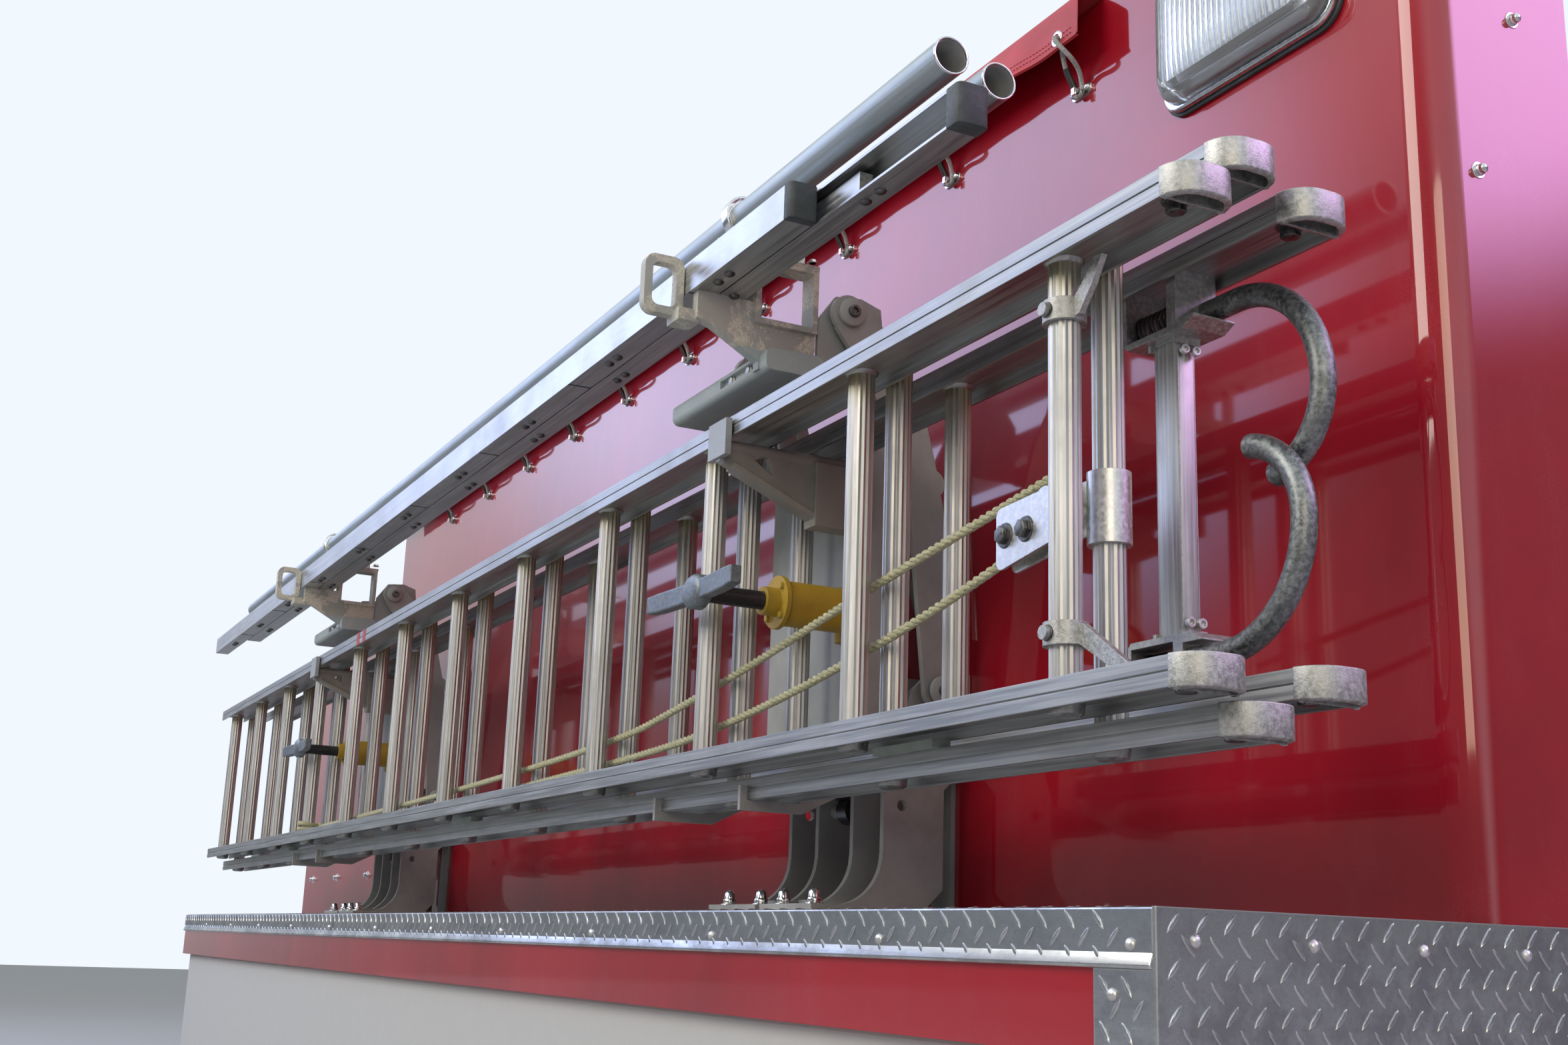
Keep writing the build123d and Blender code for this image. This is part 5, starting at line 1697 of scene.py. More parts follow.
@dataclass
class LadderSet:
    """Caps, rung ends and marks of the extension and the roof ladder."""

    shop: Workshop
    ladders: tuple[LadderLine, ...] = (
        LadderLine("fly", -0.165, (0.277, 0.662), 12),
        LadderLine("bed", -0.119, (0.245, 0.694), 12),
        LadderLine("roof", -0.045, (0.279, 0.668), 11, FIRST_RUNG - RUNG_PITCH),
    )
    rung_r: float = 0.0142
    cap_x: float = 2.2515
    cap_long: float = 0.0275
    cap_half: float = 0.032
    cap_tall: float = 0.026
    cap_roof: float = 0.004
    nose_r: float = 0.0262
    cap_wall: float = 0.005
    plug_x: float = 2.234
    tape_x: tuple[float, float] = (-0.27, -0.32)
    tape_wide: float = 0.022
    tape_half: float = 0.0125
    tape_out: float = 0.0314

    def cap(self) -> Piece:
        """Hollow cast nose with its back at the origin, rounded at its tip.

        Returns:
            The object.
        """
        tip = self.cap_long - self.nose_r
        flat = self.cap_half - self.nose_r
        half = self.cap_tall / 2
        outline = [(0.0, -self.cap_half, -half)]
        for side, turns in ((-1, range(-90, 1, 10)), (1, range(0, 91, 10))):
            for angle in (radians(turn) for turn in turns):
                y = side * flat + self.nose_r * sin(angle)
                outline.append((tip + self.nose_r * cos(angle), y, -half))
        outline.append((0.0, self.cap_half, -half))
        cap = Bench.plate("cap", outline, (0, 0, self.cap_tall))
        Bench.bevel(cap, 0.0032, 3, 50.0)
        Bench.open(cap)
        Bench.pick_faces(cap, lambda centre, way: way.z < -0.9 and centre.z < -half * 0.9)
        bpy.ops.mesh.inset(thickness=self.cap_wall)
        pocket = self.cap_tall - self.cap_roof
        bpy.ops.mesh.extrude_region_move(TRANSFORM_OT_translate={"value": (0, 0, pocket)})
        Bench.close()
        return cap

    def web_plugs(self) -> None:
        """Bolt that holds each nose, under the rail's web."""
        for ladder in self.ladders:
            seats = [(self.plug_x, ladder.y, z - 0.002) for z in ladder.webs]
            bolt = Hardware.hex_head(0.0088, 0.0105)
            self.shop.fit(f"{ladder.name}_nose_bolts", bolt, seats, DOWN, "carrier", "dark_steel")

    def caps(self) -> None:
        """Stand a cap on the rear end of each rail."""
        for ladder in self.ladders:
            master = self.cap()
            caps = [Bench.stamp(master, (self.cap_x, ladder.y, z)) for z in ladder.webs]
            Bench.drop(master)
            piece = Bench.join(f"{ladder.name}_noses", caps)
            self.shop.add(piece, "carrier", "cast_alloy", [f"{ladder.name}_caps"], 40.0)

    def rung_ends(self) -> None:
        """Flared collars inside the rails and swaged plugs outside them."""
        tube = self.rung_r - 0.001
        collar = [
            (tube, 0.0), (self.rung_r + 0.0042, 0.0), (self.rung_r + 0.0036, 0.0016),
            (self.rung_r + 0.0008, 0.0042), (tube, 0.0044), (tube, 0.0),
        ]
        plug = [
            (0, 0.0131), (0.0062, 0.0131), (0.0088, 0.0122), (0.0112, 0.0132), (0.0152, 0.0108),
            (0.0163, 0.0), (0, 0),
        ]
        flat_plug = [(r, h * 0.6) for r, h in plug]
        for ladder in self.ladders:
            low, high = ladder.webs
            ends_at = (
                (collar, low + 0.002, UP), (collar, high - 0.002, DOWN), (plug, low - 0.002, DOWN),
                (flat_plug, high + 0.002, UP),
            )
            pieces = [
                Bench.lathe("rung_end", profile, (ladder.first, ladder.y, z), way, 20)
                for profile, z, way in ends_at
            ]
            ends = Bench.join(f"{ladder.name}_rung_ends", pieces)
            Bench.row(ends, ladder.rungs, (-RUNG_PITCH, 0, 0))
            self.shop.add(ends, "carrier", "rail_alloy")

    def marks(self) -> None:
        """Two short bands of red tape on the fly's upper rail."""
        rail = self.ladders[0]
        low, high = rail.webs[1] - self.tape_half, rail.webs[1] + self.tape_half
        y = rail.y - self.tape_out
        bands = []
        for x in self.tape_x:
            end = x + self.tape_wide
            outline = [(x, y, low), (end, y, low), (end, y, high), (x, y, high)]
            bands.append(Bench.plate("band", outline, (0, 0.002, 0)))
        self.shop.add(Bench.join("rail_tape", bands), "carrier", "tape_red")

    def dress(self) -> None:
        """Make caps, rung ends and marks."""
        self.caps()
        self.web_plugs()
        self.rung_ends()
        self.marks()


@dataclass
class RoofHooks:
    """Coil springs with their washers, screws and the crossbar tube of the roof ladder's hook castings."""

    shop: Workshop
    y: float = -0.045
    shanks: tuple[float, float] = (0.317, 0.630)
    spring: tuple[float, float] = (2.0475, 2.1025)
    coil_r: float = 0.0125
    wire_r: float = 0.0017
    coil_turns: int = 8
    washer: tuple[float, float, float] = (0.0075, 0.0145, 0.002)
    tabs: tuple[tuple[float, float], ...] = ((2.1045, 0.351), (2.1045, 0.596))
    tube_half: tuple[float, float] = (0.0158, 0.0098)
    tube_z: tuple[float, float] = (0.3395, 0.6075)

    def springs(self) -> None:
        """Black coil spring on each shank, with an end washer."""
        start, end = self.spring
        hole, rim, thick = self.washer
        ring = [(hole, 0), (rim, 0), (rim, thick), (hole, thick), (hole, 0)]
        size = (self.coil_r, self.wire_r, self.coil_turns, end - start - 2 * thick)
        coils = []
        for z in self.shanks:
            coils.append(Bench.coil("spring", (start + thick, self.y, z), *size))
            for x in (start, end - thick):
                coils.append(Bench.lathe("ring", ring, (x, self.y, z), REAR, 20))
        self.shop.add(Bench.join("hook_coils", coils), "carrier", "spring_steel", ["hook_springs"], 60.0)

    def screws(self) -> None:
        """Two socket screws side by side on each rear tab."""
        seats = [(x, self.y + side * 0.0062, z) for x, z in self.tabs for side in (-1, 1)]
        self.shop.fit("tab_screws", Hardware.socket(0.0048, 0.0042), seats, REAR, "carrier", "pulley_zinc")

    def crossbar(self) -> None:
        """Drawn satin tube over the plain bar between the castings."""
        half_x, half_y = self.tube_half
        low, high = self.tube_z
        bar = Bench.block(
            "crossbar_tube", (FIRST_RUNG - half_x, self.y - half_y, low),
            (FIRST_RUNG + half_x, self.y + half_y, high),
        )
        self.shop.add(Bench.bevel(bar, 0.0024, 3), "carrier", "rung_alloy")

    def dress(self) -> None:
        """Make springs, screws and crossbar."""
        self.springs()
        self.screws()
        self.crossbar()


@dataclass
class RackStation:
    """Nuts, pins, bolts, hose end and clamp handle of one station of the rack."""

    shop: Workshop
    number: int
    x: float
    foot_nuts: tuple[Point, ...] = (
        (-0.112, -0.055, 0.122), (0.112, -0.055, 0.122), (-0.03, -0.052, 0.122), (0.03, -0.052, 0.122),
    )
    pin_aside: float = 0.146
    pins: tuple[tuple[str, str, float, float], ...] = (
        ("upper", "carrier", -0.044, 0.831), ("lower", "body_side", 0.093, 0.377),
    )
    block_bolts: tuple[Point, ...] = ((0.04, -0.153, 0.752), (0.088, -0.153, 0.752))
    frame_bolts: tuple[Point, ...] = ((0.119, -0.15, 0.7915), (0.119, -0.105, 0.7915))
    block_stud: Point = (0.1, -0.135, 0.766)
    button: Point = (0.12, 0.045, 0.33)
    hose_seat: Point = (-0.02, 0.086, 0.128)
    clamp_aside: float = 0.1
    clamp_z: float = 0.468
    tee_half: float = 0.1175
    tee_y: tuple[float, float] = (-0.2255, -0.2115)
    tee_tall: float = 0.0125
    hub_y: float = -0.2155
    hub_wide: float = 1.35
    shaft_y: float = -0.208

    def at(self, offsets: Sequence[Point]) -> list[Point]:
        """Offsets from the station's middle as places."""
        return [(self.x + x, y, z) for x, y, z in offsets]

    def feet(self) -> None:
        """Chrome acorn nuts on the feet."""
        seats = self.at(self.foot_nuts)
        nut = Hardware.acorn(0.0088, 0.0185)
        self.shop.fit(f"foot_nuts_{self.number}", nut, seats, UP, "body_side", "chrome")

    def arm_pins(self) -> None:
        """Painted washers and small socket bolts on the arms' pivots."""
        disc = [(0, 0.0042), (0.0155, 0.0042), (0.0178, 0.0026), (0.0182, 0), (0, 0)]
        screw = [
            (0, 0.006), (0.0036, 0.006), (0.004, 0.0094), (0.0068, 0.0094), (0.0078, 0.0082),
            (0.0078, 0.003), (0, 0.003),
        ]
        for part, profile, slot in (("washers", disc, "mast_paint"), ("bolts", screw, "dark_steel")):
            head = Bench.lathe("head", profile, sides=28)
            for name, body, y, z in self.pins:
                pair = [
                    Bench.stamp(head, (self.x + self.pin_aside, y, z), REAR),
                    Bench.stamp(head, (self.x - self.pin_aside, y, z), FRONT),
                ]
                self.shop.add(Bench.join(f"{name}_pin_{part}_{self.number}", pair), body, slot)
            Bench.drop(head)

    def bolts(self) -> None:
        """Heads in the block's recess, bolts under the square frame and the stud's nut."""
        for name, head, seats, way in (
            ("block_bolts", Hardware.hex_head(0.0056, 0.0034), self.block_bolts, OUT),
            ("frame_bolts", Hardware.hex_head(0.0058, 0.0042), self.frame_bolts, DOWN),
            ("block_stud", Hardware.acorn(0.0062, 0.009), (self.block_stud,), UP),
        ):
            self.shop.fit(f"{name}_{self.number}", head, self.at(seats), way, "carrier", "pulley_zinc")

    def buttons(self) -> None:
        """Dark button heads on the outer faces of the gussets."""
        head = Hardware.socket(0.0062, 0.004)
        aside, y, z = self.button
        pair = [
            Bench.stamp(head, (self.x + aside, y, z), REAR), Bench.stamp(head, (self.x - aside, y, z), FRONT),
        ]
        Bench.drop(head)
        self.shop.add(Bench.join(f"gusset_buttons_{self.number}", pair), "body_side", "dark_steel")

    def hose(self) -> None:
        """Black fitting of the pressure hose beside the ram."""
        profile = [
            (0, 0), (0.012, 0), (0.012, 0.012), (0.0095, 0.014), (0.0095, 0.03), (0.0075, 0.034), (0, 0.034),
        ]
        seat = self.at([self.hose_seat])[0]
        fitting = Bench.lathe(f"hose_fitting_{self.number}", profile, seat, UP, 20)
        self.shop.add(fitting, "body_side", "spring_steel")

    def clamp(self) -> None:
        """Forged T handle with an oval hub, and its dark shaft."""
        x = self.x + self.clamp_aside
        z = self.clamp_z
        front, back = self.tee_y
        bar = Bench.block(
            "bar", (x - self.tee_half, front, z - self.tee_tall),
            (x + self.tee_half, back, z + self.tee_tall),
        )
        Bench.open(bar, "SELECT")
        bpy.ops.mesh.subdivide(number_cuts=8)
        Bench.close()
        for point in bar.data.vertices:
            reach = (point.co.x - x) / self.tee_half
            waist = 1 - reach * reach
            point.co.y += 0.0065 * waist - 0.0022
            point.co.z = z + (point.co.z - z) * (1.0 - 0.18 * abs(reach) ** 6 - 0.10 * waist)
        Bench.bevel(bar, 0.0042, 3, 40.0)
        rounds = [
            (0, -0.012), (0.017, -0.012), (0.0205, -0.009), (0.0205, 0.003), (0.0165, 0.0075),
            (0.009, 0.009), (0, 0.009),
        ]
        hub = Bench.lathe("hub", rounds, (x, self.hub_y, z), OUT, 32)
        for point in hub.data.vertices:
            point.co.x = x + (point.co.x - x) * self.hub_wide
        turned = [(0, 0), (0.011, 0), (0.011, 0.142), (0, 0.142)]
        shaft = Bench.lathe(f"clamp_shaft_{self.number}", turned, (x, self.shaft_y, z), (0, 1, 0), 24)
        handle = Bench.join(f"tee_handle_{self.number}", [bar, hub])
        body, node = f"clamp_{self.number}", f"clamp_handle_{self.number}"
        self.shop.add(handle, body, "zinc_cast", [node], 50.0)
        self.shop.add(shaft, body, "ram_black", [node])

    def dress(self) -> None:
        """Make everything of this station."""
        self.feet()
        self.arm_pins()
        self.bolts()
        self.buttons()
        self.hose()
        self.clamp()


@dataclass
class TopLoad:
    """Bolts and plugs of the attic ladder, rims, bores and straps of the pole tubes."""

    shop: Workshop
    beams: tuple[tuple[float, float], ...] = ((1.7, -0.248), (1.985, -0.213))
    rung_count: int = 10
    rung_first: float = 0.17
    rung_pitch: float = 0.345
    bolt_apart: float = 0.03
    bolt_in: float = 0.0165
    bolt_z: float = 0.826
    joint_first: float = 1.45
    joint_pitch: float = 0.41
    joint_count: int = 8
    joint_wide: float = 0.0022
    joint_y: tuple[float, float] = (-0.2482, -0.215)
    joint_z: float = 0.8258
    tubes: tuple[tuple[float, float], ...] = ((1.927, -0.184), (1.908, -0.115))
    tube_z: float = 0.929
    plug_places: tuple[Point, ...] = ((1.699, 1.714, -0.249), (1.966, 1.989, -0.214))
    plug_deep: float = 0.035
    plug_low: float = 0.825
    plug_tall: float = 0.042
    plug_r: float = 0.007
    strap_aside: float = 0.119
    strap_feet: tuple[float, ...] = (-0.212, -0.156, -0.143, -0.087)
    strap_z: float = 0.895

    def beam_bolts(self) -> None:
        """Pairs of dark rivet heads under the beams, one pair for each rung."""
        seats = []
        for right, front in self.beams:
            for i in range(self.rung_count):
                x = right - self.rung_first - self.rung_pitch * i
                seats += [(near, front + self.bolt_in, self.bolt_z) for near in (x, x - self.bolt_apart)]
        head = Hardware.rivet(0.0068, 0.0042, 12)
        self.shop.fit("beam_bolts", head, seats, DOWN, "carrier", "dark_steel")

    def joint_lines(self) -> None:
        """Dark lines across the beams' undersides."""
        front, back = self.joint_y
        z = self.joint_z
        lines = []
        for i in range(self.joint_count):
            x = self.joint_first - self.joint_pitch * i
            end = x + self.joint_wide
            outline = [(x, front, z), (end, front, z), (end, back, z), (x, back, z)]
            lines.append(Bench.plate("line", outline, (0, 0, -0.0004)))
        self.shop.add(Bench.join("beam_cross_lines", lines), "carrier", "cap_rubber")

    def plugs(self) -> None:
        """Moulded plugs with rounded corners on the beams' rear ends."""
        plugs = []
        for left, right, front in self.plug_places:
            back = front + self.plug_deep
            outline = [(left, back, self.plug_low), (left, front, self.plug_low)]
            for y, start in ((front + self.plug_r, -90), (back - self.plug_r, 0)):
                for angle in (radians(turn) for turn in range(start, start + 91, 15)):
                    x = right - self.plug_r + self.plug_r * cos(angle)
                    outline.append((x, y + self.plug_r * sin(angle), self.plug_low))
            plugs.append(Bench.bevel(Bench.plate("plug", outline, (0, 0, self.plug_tall)), 0.0014, 2, 50.0))
        self.shop.add(Bench.join("beam_plugs", plugs), "carrier", "cap_rubber", ["attic_caps"], 40.0)

    def rims(self) -> None:
        """Bright rims of the tubes' cut ends."""
        rim = [
            (0.0178, 0.0), (0.0203, 0.0), (0.0203, 0.0011), (0.0196, 0.0018), (0.0184, 0.0018),
            (0.0178, 0.0011), (0.0178, 0.0),
        ]
        rims = [Bench.lathe("rim", rim, (x - 0.0008, y, self.tube_z), REAR, 48) for x, y in self.tubes]
        self.shop.add(Bench.join("tube_rims", rims), "carrier", "chrome", smooth=60.0)

    def linings(self) -> None:
        """Dull bores of the open tubes."""
        bore = [
            (0.0179, -0.0015), (0.0179, -0.3), (0, -0.3), (0, -0.299), (0.0174, -0.299),
            (0.0174, -0.0015), (0.0179, -0.0015),
        ]
        bores = [Bench.lathe("bore", bore, (x, y, self.tube_z), REAR, 40) for x, y in self.tubes]
        self.shop.add(Bench.join("tube_bores", bores), "carrier", "tube_bore", smooth=50.0)

    def rings(self) -> None:
        """Bright ring that stands proud of each tube at its strap."""
        band = [
            (0.0232, -0.008), (0.0262, -0.0074), (0.0266, 0), (0.0262, 0.0074), (0.0232, 0.008),
            (0.0232, -0.008),
        ]
        z = self.tube_z + 0.0035
        places = [(x + self.strap_aside, y, z) for x in STATIONS for _, y in self.tubes]
        rings = [Bench.lathe("ring", band, place, REAR, 40) for place in places]
        self.shop.add(Bench.join("strap_rings", rings), "carrier", "chrome", smooth=50.0)

    def strap_screws(self) -> None:
        """Hex screws on the feet of the tube straps."""
        seats = [(x + self.strap_aside, y, self.strap_z) for x in STATIONS for y in self.strap_feet]
        self.shop.fit("strap_screws", Hardware.hex_head(0.0052, 0.0045), seats, UP, "carrier", "chrome")

    def dress(self) -> None:
        """Make everything on top of the rack."""
        self.beam_bolts()
        self.joint_lines()
        self.rims()
        self.plugs()
        self.linings()
        self.rings()
        self.strap_screws()


@dataclass
class SceneLamp:
    """Rounded chrome bezel, black gasket, bright reflector and ribbed lens of the scene light."""

    shop: Workshop
    left: float = 1.855
    right: float = 2.115
    low: float = 0.975
    high: float = 1.14
    wall_y: float = 0.15
    front_y: float = 0.108
    corner: float = 0.03
    inset: float = 0.0215
    bead: float = 0.009
    bead_front: float = 0.1375
    rim_inset: float = 0.0075
    rim_back: float = 0.1415
    rim_step: float = 0.015
    rim_slope: float = 0.0145
    lens_wall: float = 0.003
    rib_pitch: tuple[float, float] = (0.0085, 0.012)
    rib_tall: tuple[float, float] = (0.0007, 0.0004)
    crown: float = 0.004
    bowl_deep: float = 0.0155

    def outline(self, inset: float, y: float) -> list[Point]:
        """Rounded rectangle at a depth.

        Args:
            inset: how far it is drawn in.
            y: its plane.

        Returns:
            Its points in order.
        """
        radius = max(self.corner - inset * 0.6, 0.004)
        points = []
        corners = (
            (self.right - inset - radius, self.high - inset - radius, 0),
            (self.left + inset + radius, self.high - inset - radius, 90),
            (self.left + inset + radius, self.low + inset + radius, 180),
            (self.right - inset - radius, self.low + inset + radius, 270),
        )
        for x, z, start in corners:
            for turn in range(0, 91, 10):
                angle = radians(start + turn)
                points.append((x + radius * cos(angle), y, z + radius * sin(angle)))
        return points

    def opening(self, gap: float) -> tuple[float, float, float, float]:
        """The lens opening, smaller by a gap.

        Args:
            gap: how much smaller it is.

        Returns:
            X and Z of its middle, its width and its height.
        """
        wide = self.right - self.left - 2 * self.inset - gap
        tall = self.high - self.low - 2 * self.inset - gap
        return (self.left + self.right) / 2, (self.low + self.high) / 2, wide, tall

    def ring(
        self, name: str, outer: float, inner: float, back: float, front: float, edge: float,
    ) -> Piece:
        """Flat rounded frame with softened edges.

        Args:
            name: name of the piece.
            outer: inset of its outside.
            inner: inset of its opening.
            back: plane of its back.
            front: plane of its front.
            edge: width of the bevel.

        Returns:
            The object.
        """
        band = Bench.plate(name, self.outline(outer, back), (0, front - back, 0))
        hole = Bench.plate("hole", self.outline(inner, back + 0.01), (0, front - back - 0.02, 0))
        return Bench.bevel(Bench.carve(band, hole), edge, 4, 50.0)

    def ribbed(self) -> Piece:
        """Lens pressed with upright and cross ribs and a slight crown.

        Returns:
            The object.
        """
        lens = Bench.begin(
            "ribbed_lens", bpy.ops.mesh.primitive_grid_add, x_subdivisions=220, y_subdivisions=44, size=1.0,
        )
        x, z, wide, tall = self.opening(0.003)
        for point in lens.data.vertices:
            u, v = point.co.x, point.co.y
            crown = self.crown * (1 - (2 * u) ** 4) * (1 - (2 * v) ** 4)
            upright = self.rib_tall[0] * abs(sin(u * wide / self.rib_pitch[0] * pi))
            across = self.rib_tall[1] * abs(sin(v * tall / self.rib_pitch[1] * pi))
            corner = max(0.0, abs(u) - 0.44) / 0.06 * max(0.0, abs(v) - 0.40) / 0.10
            shrink = 1 - 0.045 * corner
            depth = self.front_y + 0.0075 - crown - upright - across
            point.co = (x + u * wide * shrink, depth, z + v * tall * shrink)
        return Bench.thicken(lens, self.lens_wall)

    def rim(self) -> Piece:
        """Clear sloping side of the moulding, round the ribbed front.

        Returns:
            The object.
        """
        rim = Bench.plate("lens_rim", self.outline(self.rim_inset, self.rim_back), (0, -self.rim_step, 0))
        Bench.open(rim)
        Bench.pick_faces(rim, lambda centre, way: way.y < -0.9)
        bpy.ops.mesh.inset(thickness=self.inset - self.rim_inset, depth=self.rim_slope)
        Bench.close()
        Bench.bevel(rim, 0.004, 4, 30.0)
        hole = Bench.plate("hole", self.outline(self.inset + 0.0015, self.wall_y), (0, -0.06, 0))
        return Bench.carve(rim, hole)

    def reflector(self) -> Piece:
        """Faceted bright bowl behind the lens.

        Returns:
            The object.
        """
        bowl = Bench.begin(
            "lamp_reflector", bpy.ops.mesh.primitive_grid_add, x_subdivisions=24, y_subdivisions=10, size=1.0,
        )
        x, z, wide, tall = self.opening(0.002)
        for point in bowl.data.vertices:
            u, v = point.co.x, point.co.y
            deep = (1 - (2 * u) ** 2) * (1 - (2 * v) ** 2)
            point.co = (x + u * wide, self.front_y + 0.017 + self.bowl_deep * deep, z + v * tall)
        Bench.open(bowl)
        Bench.face_out()
        return bowl

    def dress(self) -> None:
        """Make the lamp."""
        wall = self.wall_y
        bezel = self.ring("lamp_bezel", 0.0, self.bead, wall - 0.004, self.bead_front, 0.0036)
        self.shop.add(bezel, "body_side", "chrome", ["scene_light"], 50.0)
        gasket = self.ring("lamp_gasket", -0.003, self.bead, wall - 0.0004, wall - 0.0048, 0.001)
        self.shop.add(gasket, "body_side", "cap_rubber")
        self.shop.add(self.ribbed(), "body_side", "lens", ["scene_light_lens"], 25.0)
        self.shop.add(self.rim(), "body_side", "lens", ["scene_light_lens"], 40.0)
        self.shop.add(self.reflector(), "body_side", "chrome", smooth=5.0)
        # Painted shade: a black sheet behind the reflector, seen through the clear rim, stands in for the
        # shaded inside of the lamp.
        shade_sheet = Bench.plate("lamp_shade_sheet", self.outline(self.bead + 0.001, wall - 0.001), (0, -0.003, 0))
        self.shop.add(Bench.bevel(shade_sheet, 0.0008, 1), "body_side", "ram_black")


# Studio


@dataclass(frozen=True)
class SoftLamp:
    """One square area lamp."""

    name: str
    place: Point
    aim: Point
    size: float
    watts: float
    colour: Colour
    soft_edge: bool = False

    def hang(self) -> None:
        """Add the lamp and turn it to its aim."""
        data = bpy.data.lights.new(self.name, "AREA")
        data.shape = "SQUARE"
        data.size = self.size
        data.energy = self.watts
        data.color = self.colour
        if self.soft_edge:
            self.fade(data)
        lamp = bpy.data.objects.new(self.name, data)
        bpy.context.scene.collection.objects.link(lamp)
        lamp.location = self.place
        lamp.rotation_mode = "QUATERNION"
        lamp.rotation_quaternion = (Vector(self.aim) - Vector(self.place)).to_track_quat("-Z", "Y")

    @staticmethod
    def fade(data: bpy.types.AreaLight) -> None:
        """Let a lamp's emission fall off towards its rim, like a cloth softbox.

        Args:
            data: the lamp.
        """
        data.use_nodes = True
        wiring = Wiring(data.node_tree)
        place = wiring.node("NewGeometry").outputs["Parametric"]
        squares = []
        for axis in "XY":
            off = wiring.math("ABSOLUTE", wiring.math("SUBTRACT", wiring.part(place, axis), 0.5))
            squares.append(wiring.math("POWER", off, 2.0))
        reach = wiring.math("SQRT", wiring.math("ADD", *squares))
        strength = data.node_tree.nodes["Emission"].inputs["Strength"]
        wiring.put(strength, wiring.ramp(reach, 0.5, 0.2, 0.0, 2.6, "SMOOTHERSTEP"))


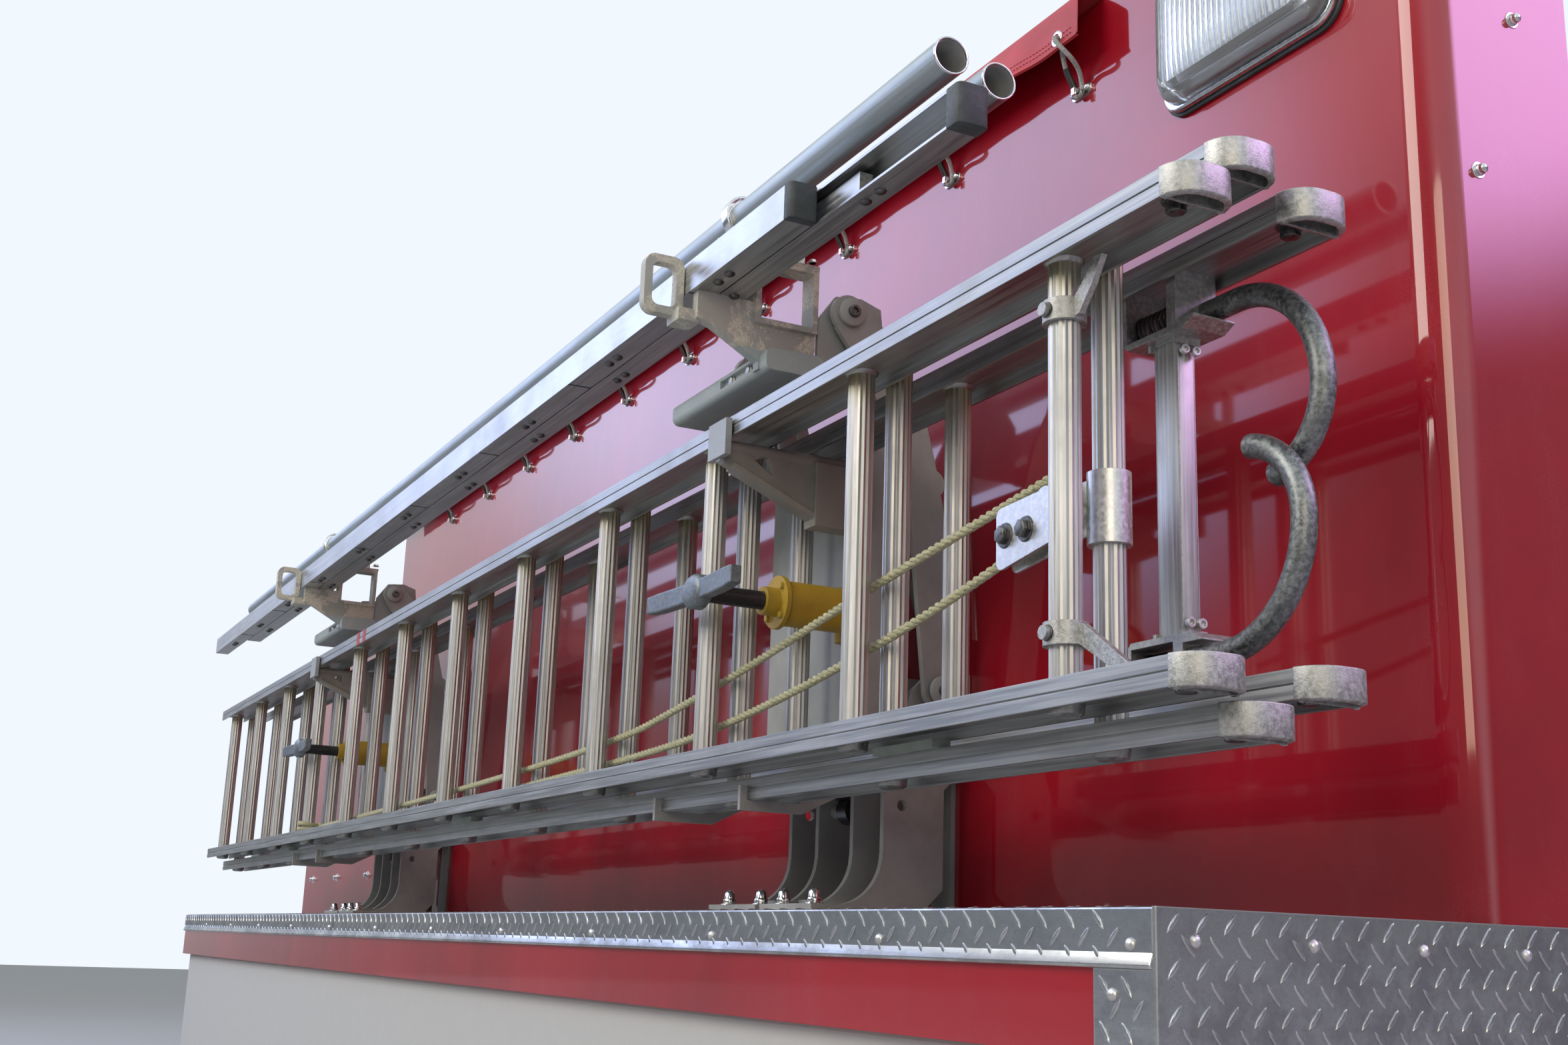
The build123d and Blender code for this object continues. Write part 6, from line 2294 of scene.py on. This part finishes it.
@dataclass
class Studio:
    """Camera at the photograph's angle, soft lamps, plinth, floor and pale surroundings."""

    camera_place: Point = (3.2398, -1.0111, 0.0696)
    camera_view: Point = (-0.8671, 0.4368, 0.2393)
    camera_down: Point = (-0.1976, 0.1393, -0.9703)
    lens: float = 39.82
    floor_size: float = 40.0
    floor_z: float = -0.42
    plinth: tuple[Point, Point] = ((-2.19, -0.165, -0.42), (2.195, 0.325, -0.0005))
    sky_low: Colour = (0.17, 0.175, 0.175)
    sky_high: Colour = (0.88, 0.94, 1.0)
    sky_light: Colour = (0.86, 0.93, 1.0)
    sky_strength: float = 0.45
    sky_range: tuple[float, float] = (-0.25, 0.1)
    side_dip: float = 0.75
    lamps: tuple[SoftLamp, ...] = (
        SoftLamp("key", (0.6, -6.6, 4.6), (0.4, 0.0, 0.6), 4.2, 290.0, (1.0, 0.94, 0.84)),
        SoftLamp("sky", (-5.1, -3.5, 3.9), (0.9, 0.15, 0.93), 6.6, 130.0, (0.50, 0.60, 1.0), True),
        SoftLamp("fill", (6.0, -2.6, 1.8), (2.2, -0.1, 0.6), 2.0, 45.0, (1.0, 0.84, 0.62)),
        SoftLamp("back", (5.3, 3.9, 4.0), (2.2, 0.25, 0.9), 3.8, 95.0, (0.86, 0.46, 1.0), True),
    )

    def camera(self) -> None:
        """Create the camera."""
        data = bpy.data.cameras.new("view_camera")
        data.lens = self.lens
        data.sensor_width = 36.0
        data.clip_end = 200.0
        camera = bpy.data.objects.new("view_camera", data)
        bpy.context.scene.collection.objects.link(camera)
        up = -Vector(self.camera_down).normalized()
        back = -Vector(self.camera_view).normalized()
        right = up.cross(back).normalized()
        turn = Matrix((right, up, back)).transposed().to_4x4()
        camera.matrix_world = Matrix.Translation(self.camera_place) @ turn
        bpy.context.scene.camera = camera

    def world(self) -> None:
        """Pale to the camera, darker low and aside in reflections, and a weak even light."""
        world = bpy.data.worlds.new("pale_room")
        bpy.context.scene.world = world
        world.use_nodes = True
        world.node_tree.nodes.clear()
        wiring = Wiring(world.node_tree)
        rays = wiring.node("LightPath").outputs

        def glow(colour: Value, strength: float) -> Socket:
            """Background shader of a colour and a strength.

            Args:
                colour: a colour or a socket.
                strength: its strength.

            Returns:
                The shader socket.
            """
            made = wiring.node("Background")
            wiring.put(made.inputs["Color"], colour)
            wiring.put(made.inputs["Strength"], strength)
            return made.outputs[0]

        def choose(factor: Socket, first: Socket, second: Socket) -> Socket:
            """Second of two shaders where the factor is 1, else the first.

            Args:
                factor: what decides.
                first: shader at 0.
                second: shader at 1.

            Returns:
                The shader socket.
            """
            made = wiring.node("MixShader")
            for index, value in enumerate((factor, first, second)):
                wiring.put(made.inputs[index], value)
            return made.outputs[0]

        way = wiring.node("TexCoord").outputs["Generated"]
        dip = wiring.math("MULTIPLY", wiring.math("ABSOLUTE", wiring.part(way, "Y")), self.side_dip)
        height = wiring.math("SUBTRACT", wiring.part(way, "Z"), dip)
        shaped = wiring.blend(wiring.ramp(height, *self.sky_range), self.sky_low, self.sky_high)
        shiny = wiring.math("MAXIMUM", rays["Is Glossy Ray"], rays["Is Transmission Ray"])
        lit = choose(shiny, glow(self.sky_light, self.sky_strength), glow(shaped, 1.0))
        surface = wiring.node("OutputWorld").inputs["Surface"]
        wiring.put(surface, choose(rays["Is Camera Ray"], lit, glow(self.sky_high, 1.0)))

    def floor(self) -> None:
        """Pale floor and a plinth under the part, so that the rack can swing down in front of it."""
        floor = Bench.begin(
            "floor", bpy.ops.mesh.primitive_plane_add, size=self.floor_size, location=(0, 0, self.floor_z),
        )
        plinth = Bench.bevel(Bench.block("plinth", *self.plinth), 0.004, 2)
        board = NodeBoard("pale_floor")
        grain = board.noise(board.place(), 30.0, 4.0, 0.6)
        board.feed("Base Color", board.blend(grain, (0.50, 0.50, 0.49), (0.54, 0.54, 0.53)))
        board.fixed(Roughness=0.8)
        for stage in (floor, plinth):
            stage.data.materials.append(board.material)

    def build(self) -> None:
        """Set up the whole studio."""
        bpy.context.scene.view_settings.view_transform = "Standard"
        self.camera()
        self.world()
        self.floor()
        for lamp in self.lamps:
            lamp.hang()


def main() -> None:
    """Build every sub-assembly in order."""
    logging.basicConfig(level=logging.INFO, format="%(message)s")
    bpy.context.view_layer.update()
    shop = Workshop()
    Studio().build()
    shop.paint_nodes()
    stations = [RackStation(shop, number, x) for number, x in enumerate(STATIONS, 1)]
    load = (HalyardGear(shop), LadderSet(shop), RoofHooks(shop), TopLoad(shop))
    for part in (*load, *stations, CoverEdge(shop), SceneLamp(shop), BodySide(shop)):
        part.dress()


if __name__ == "__main__":
    main()
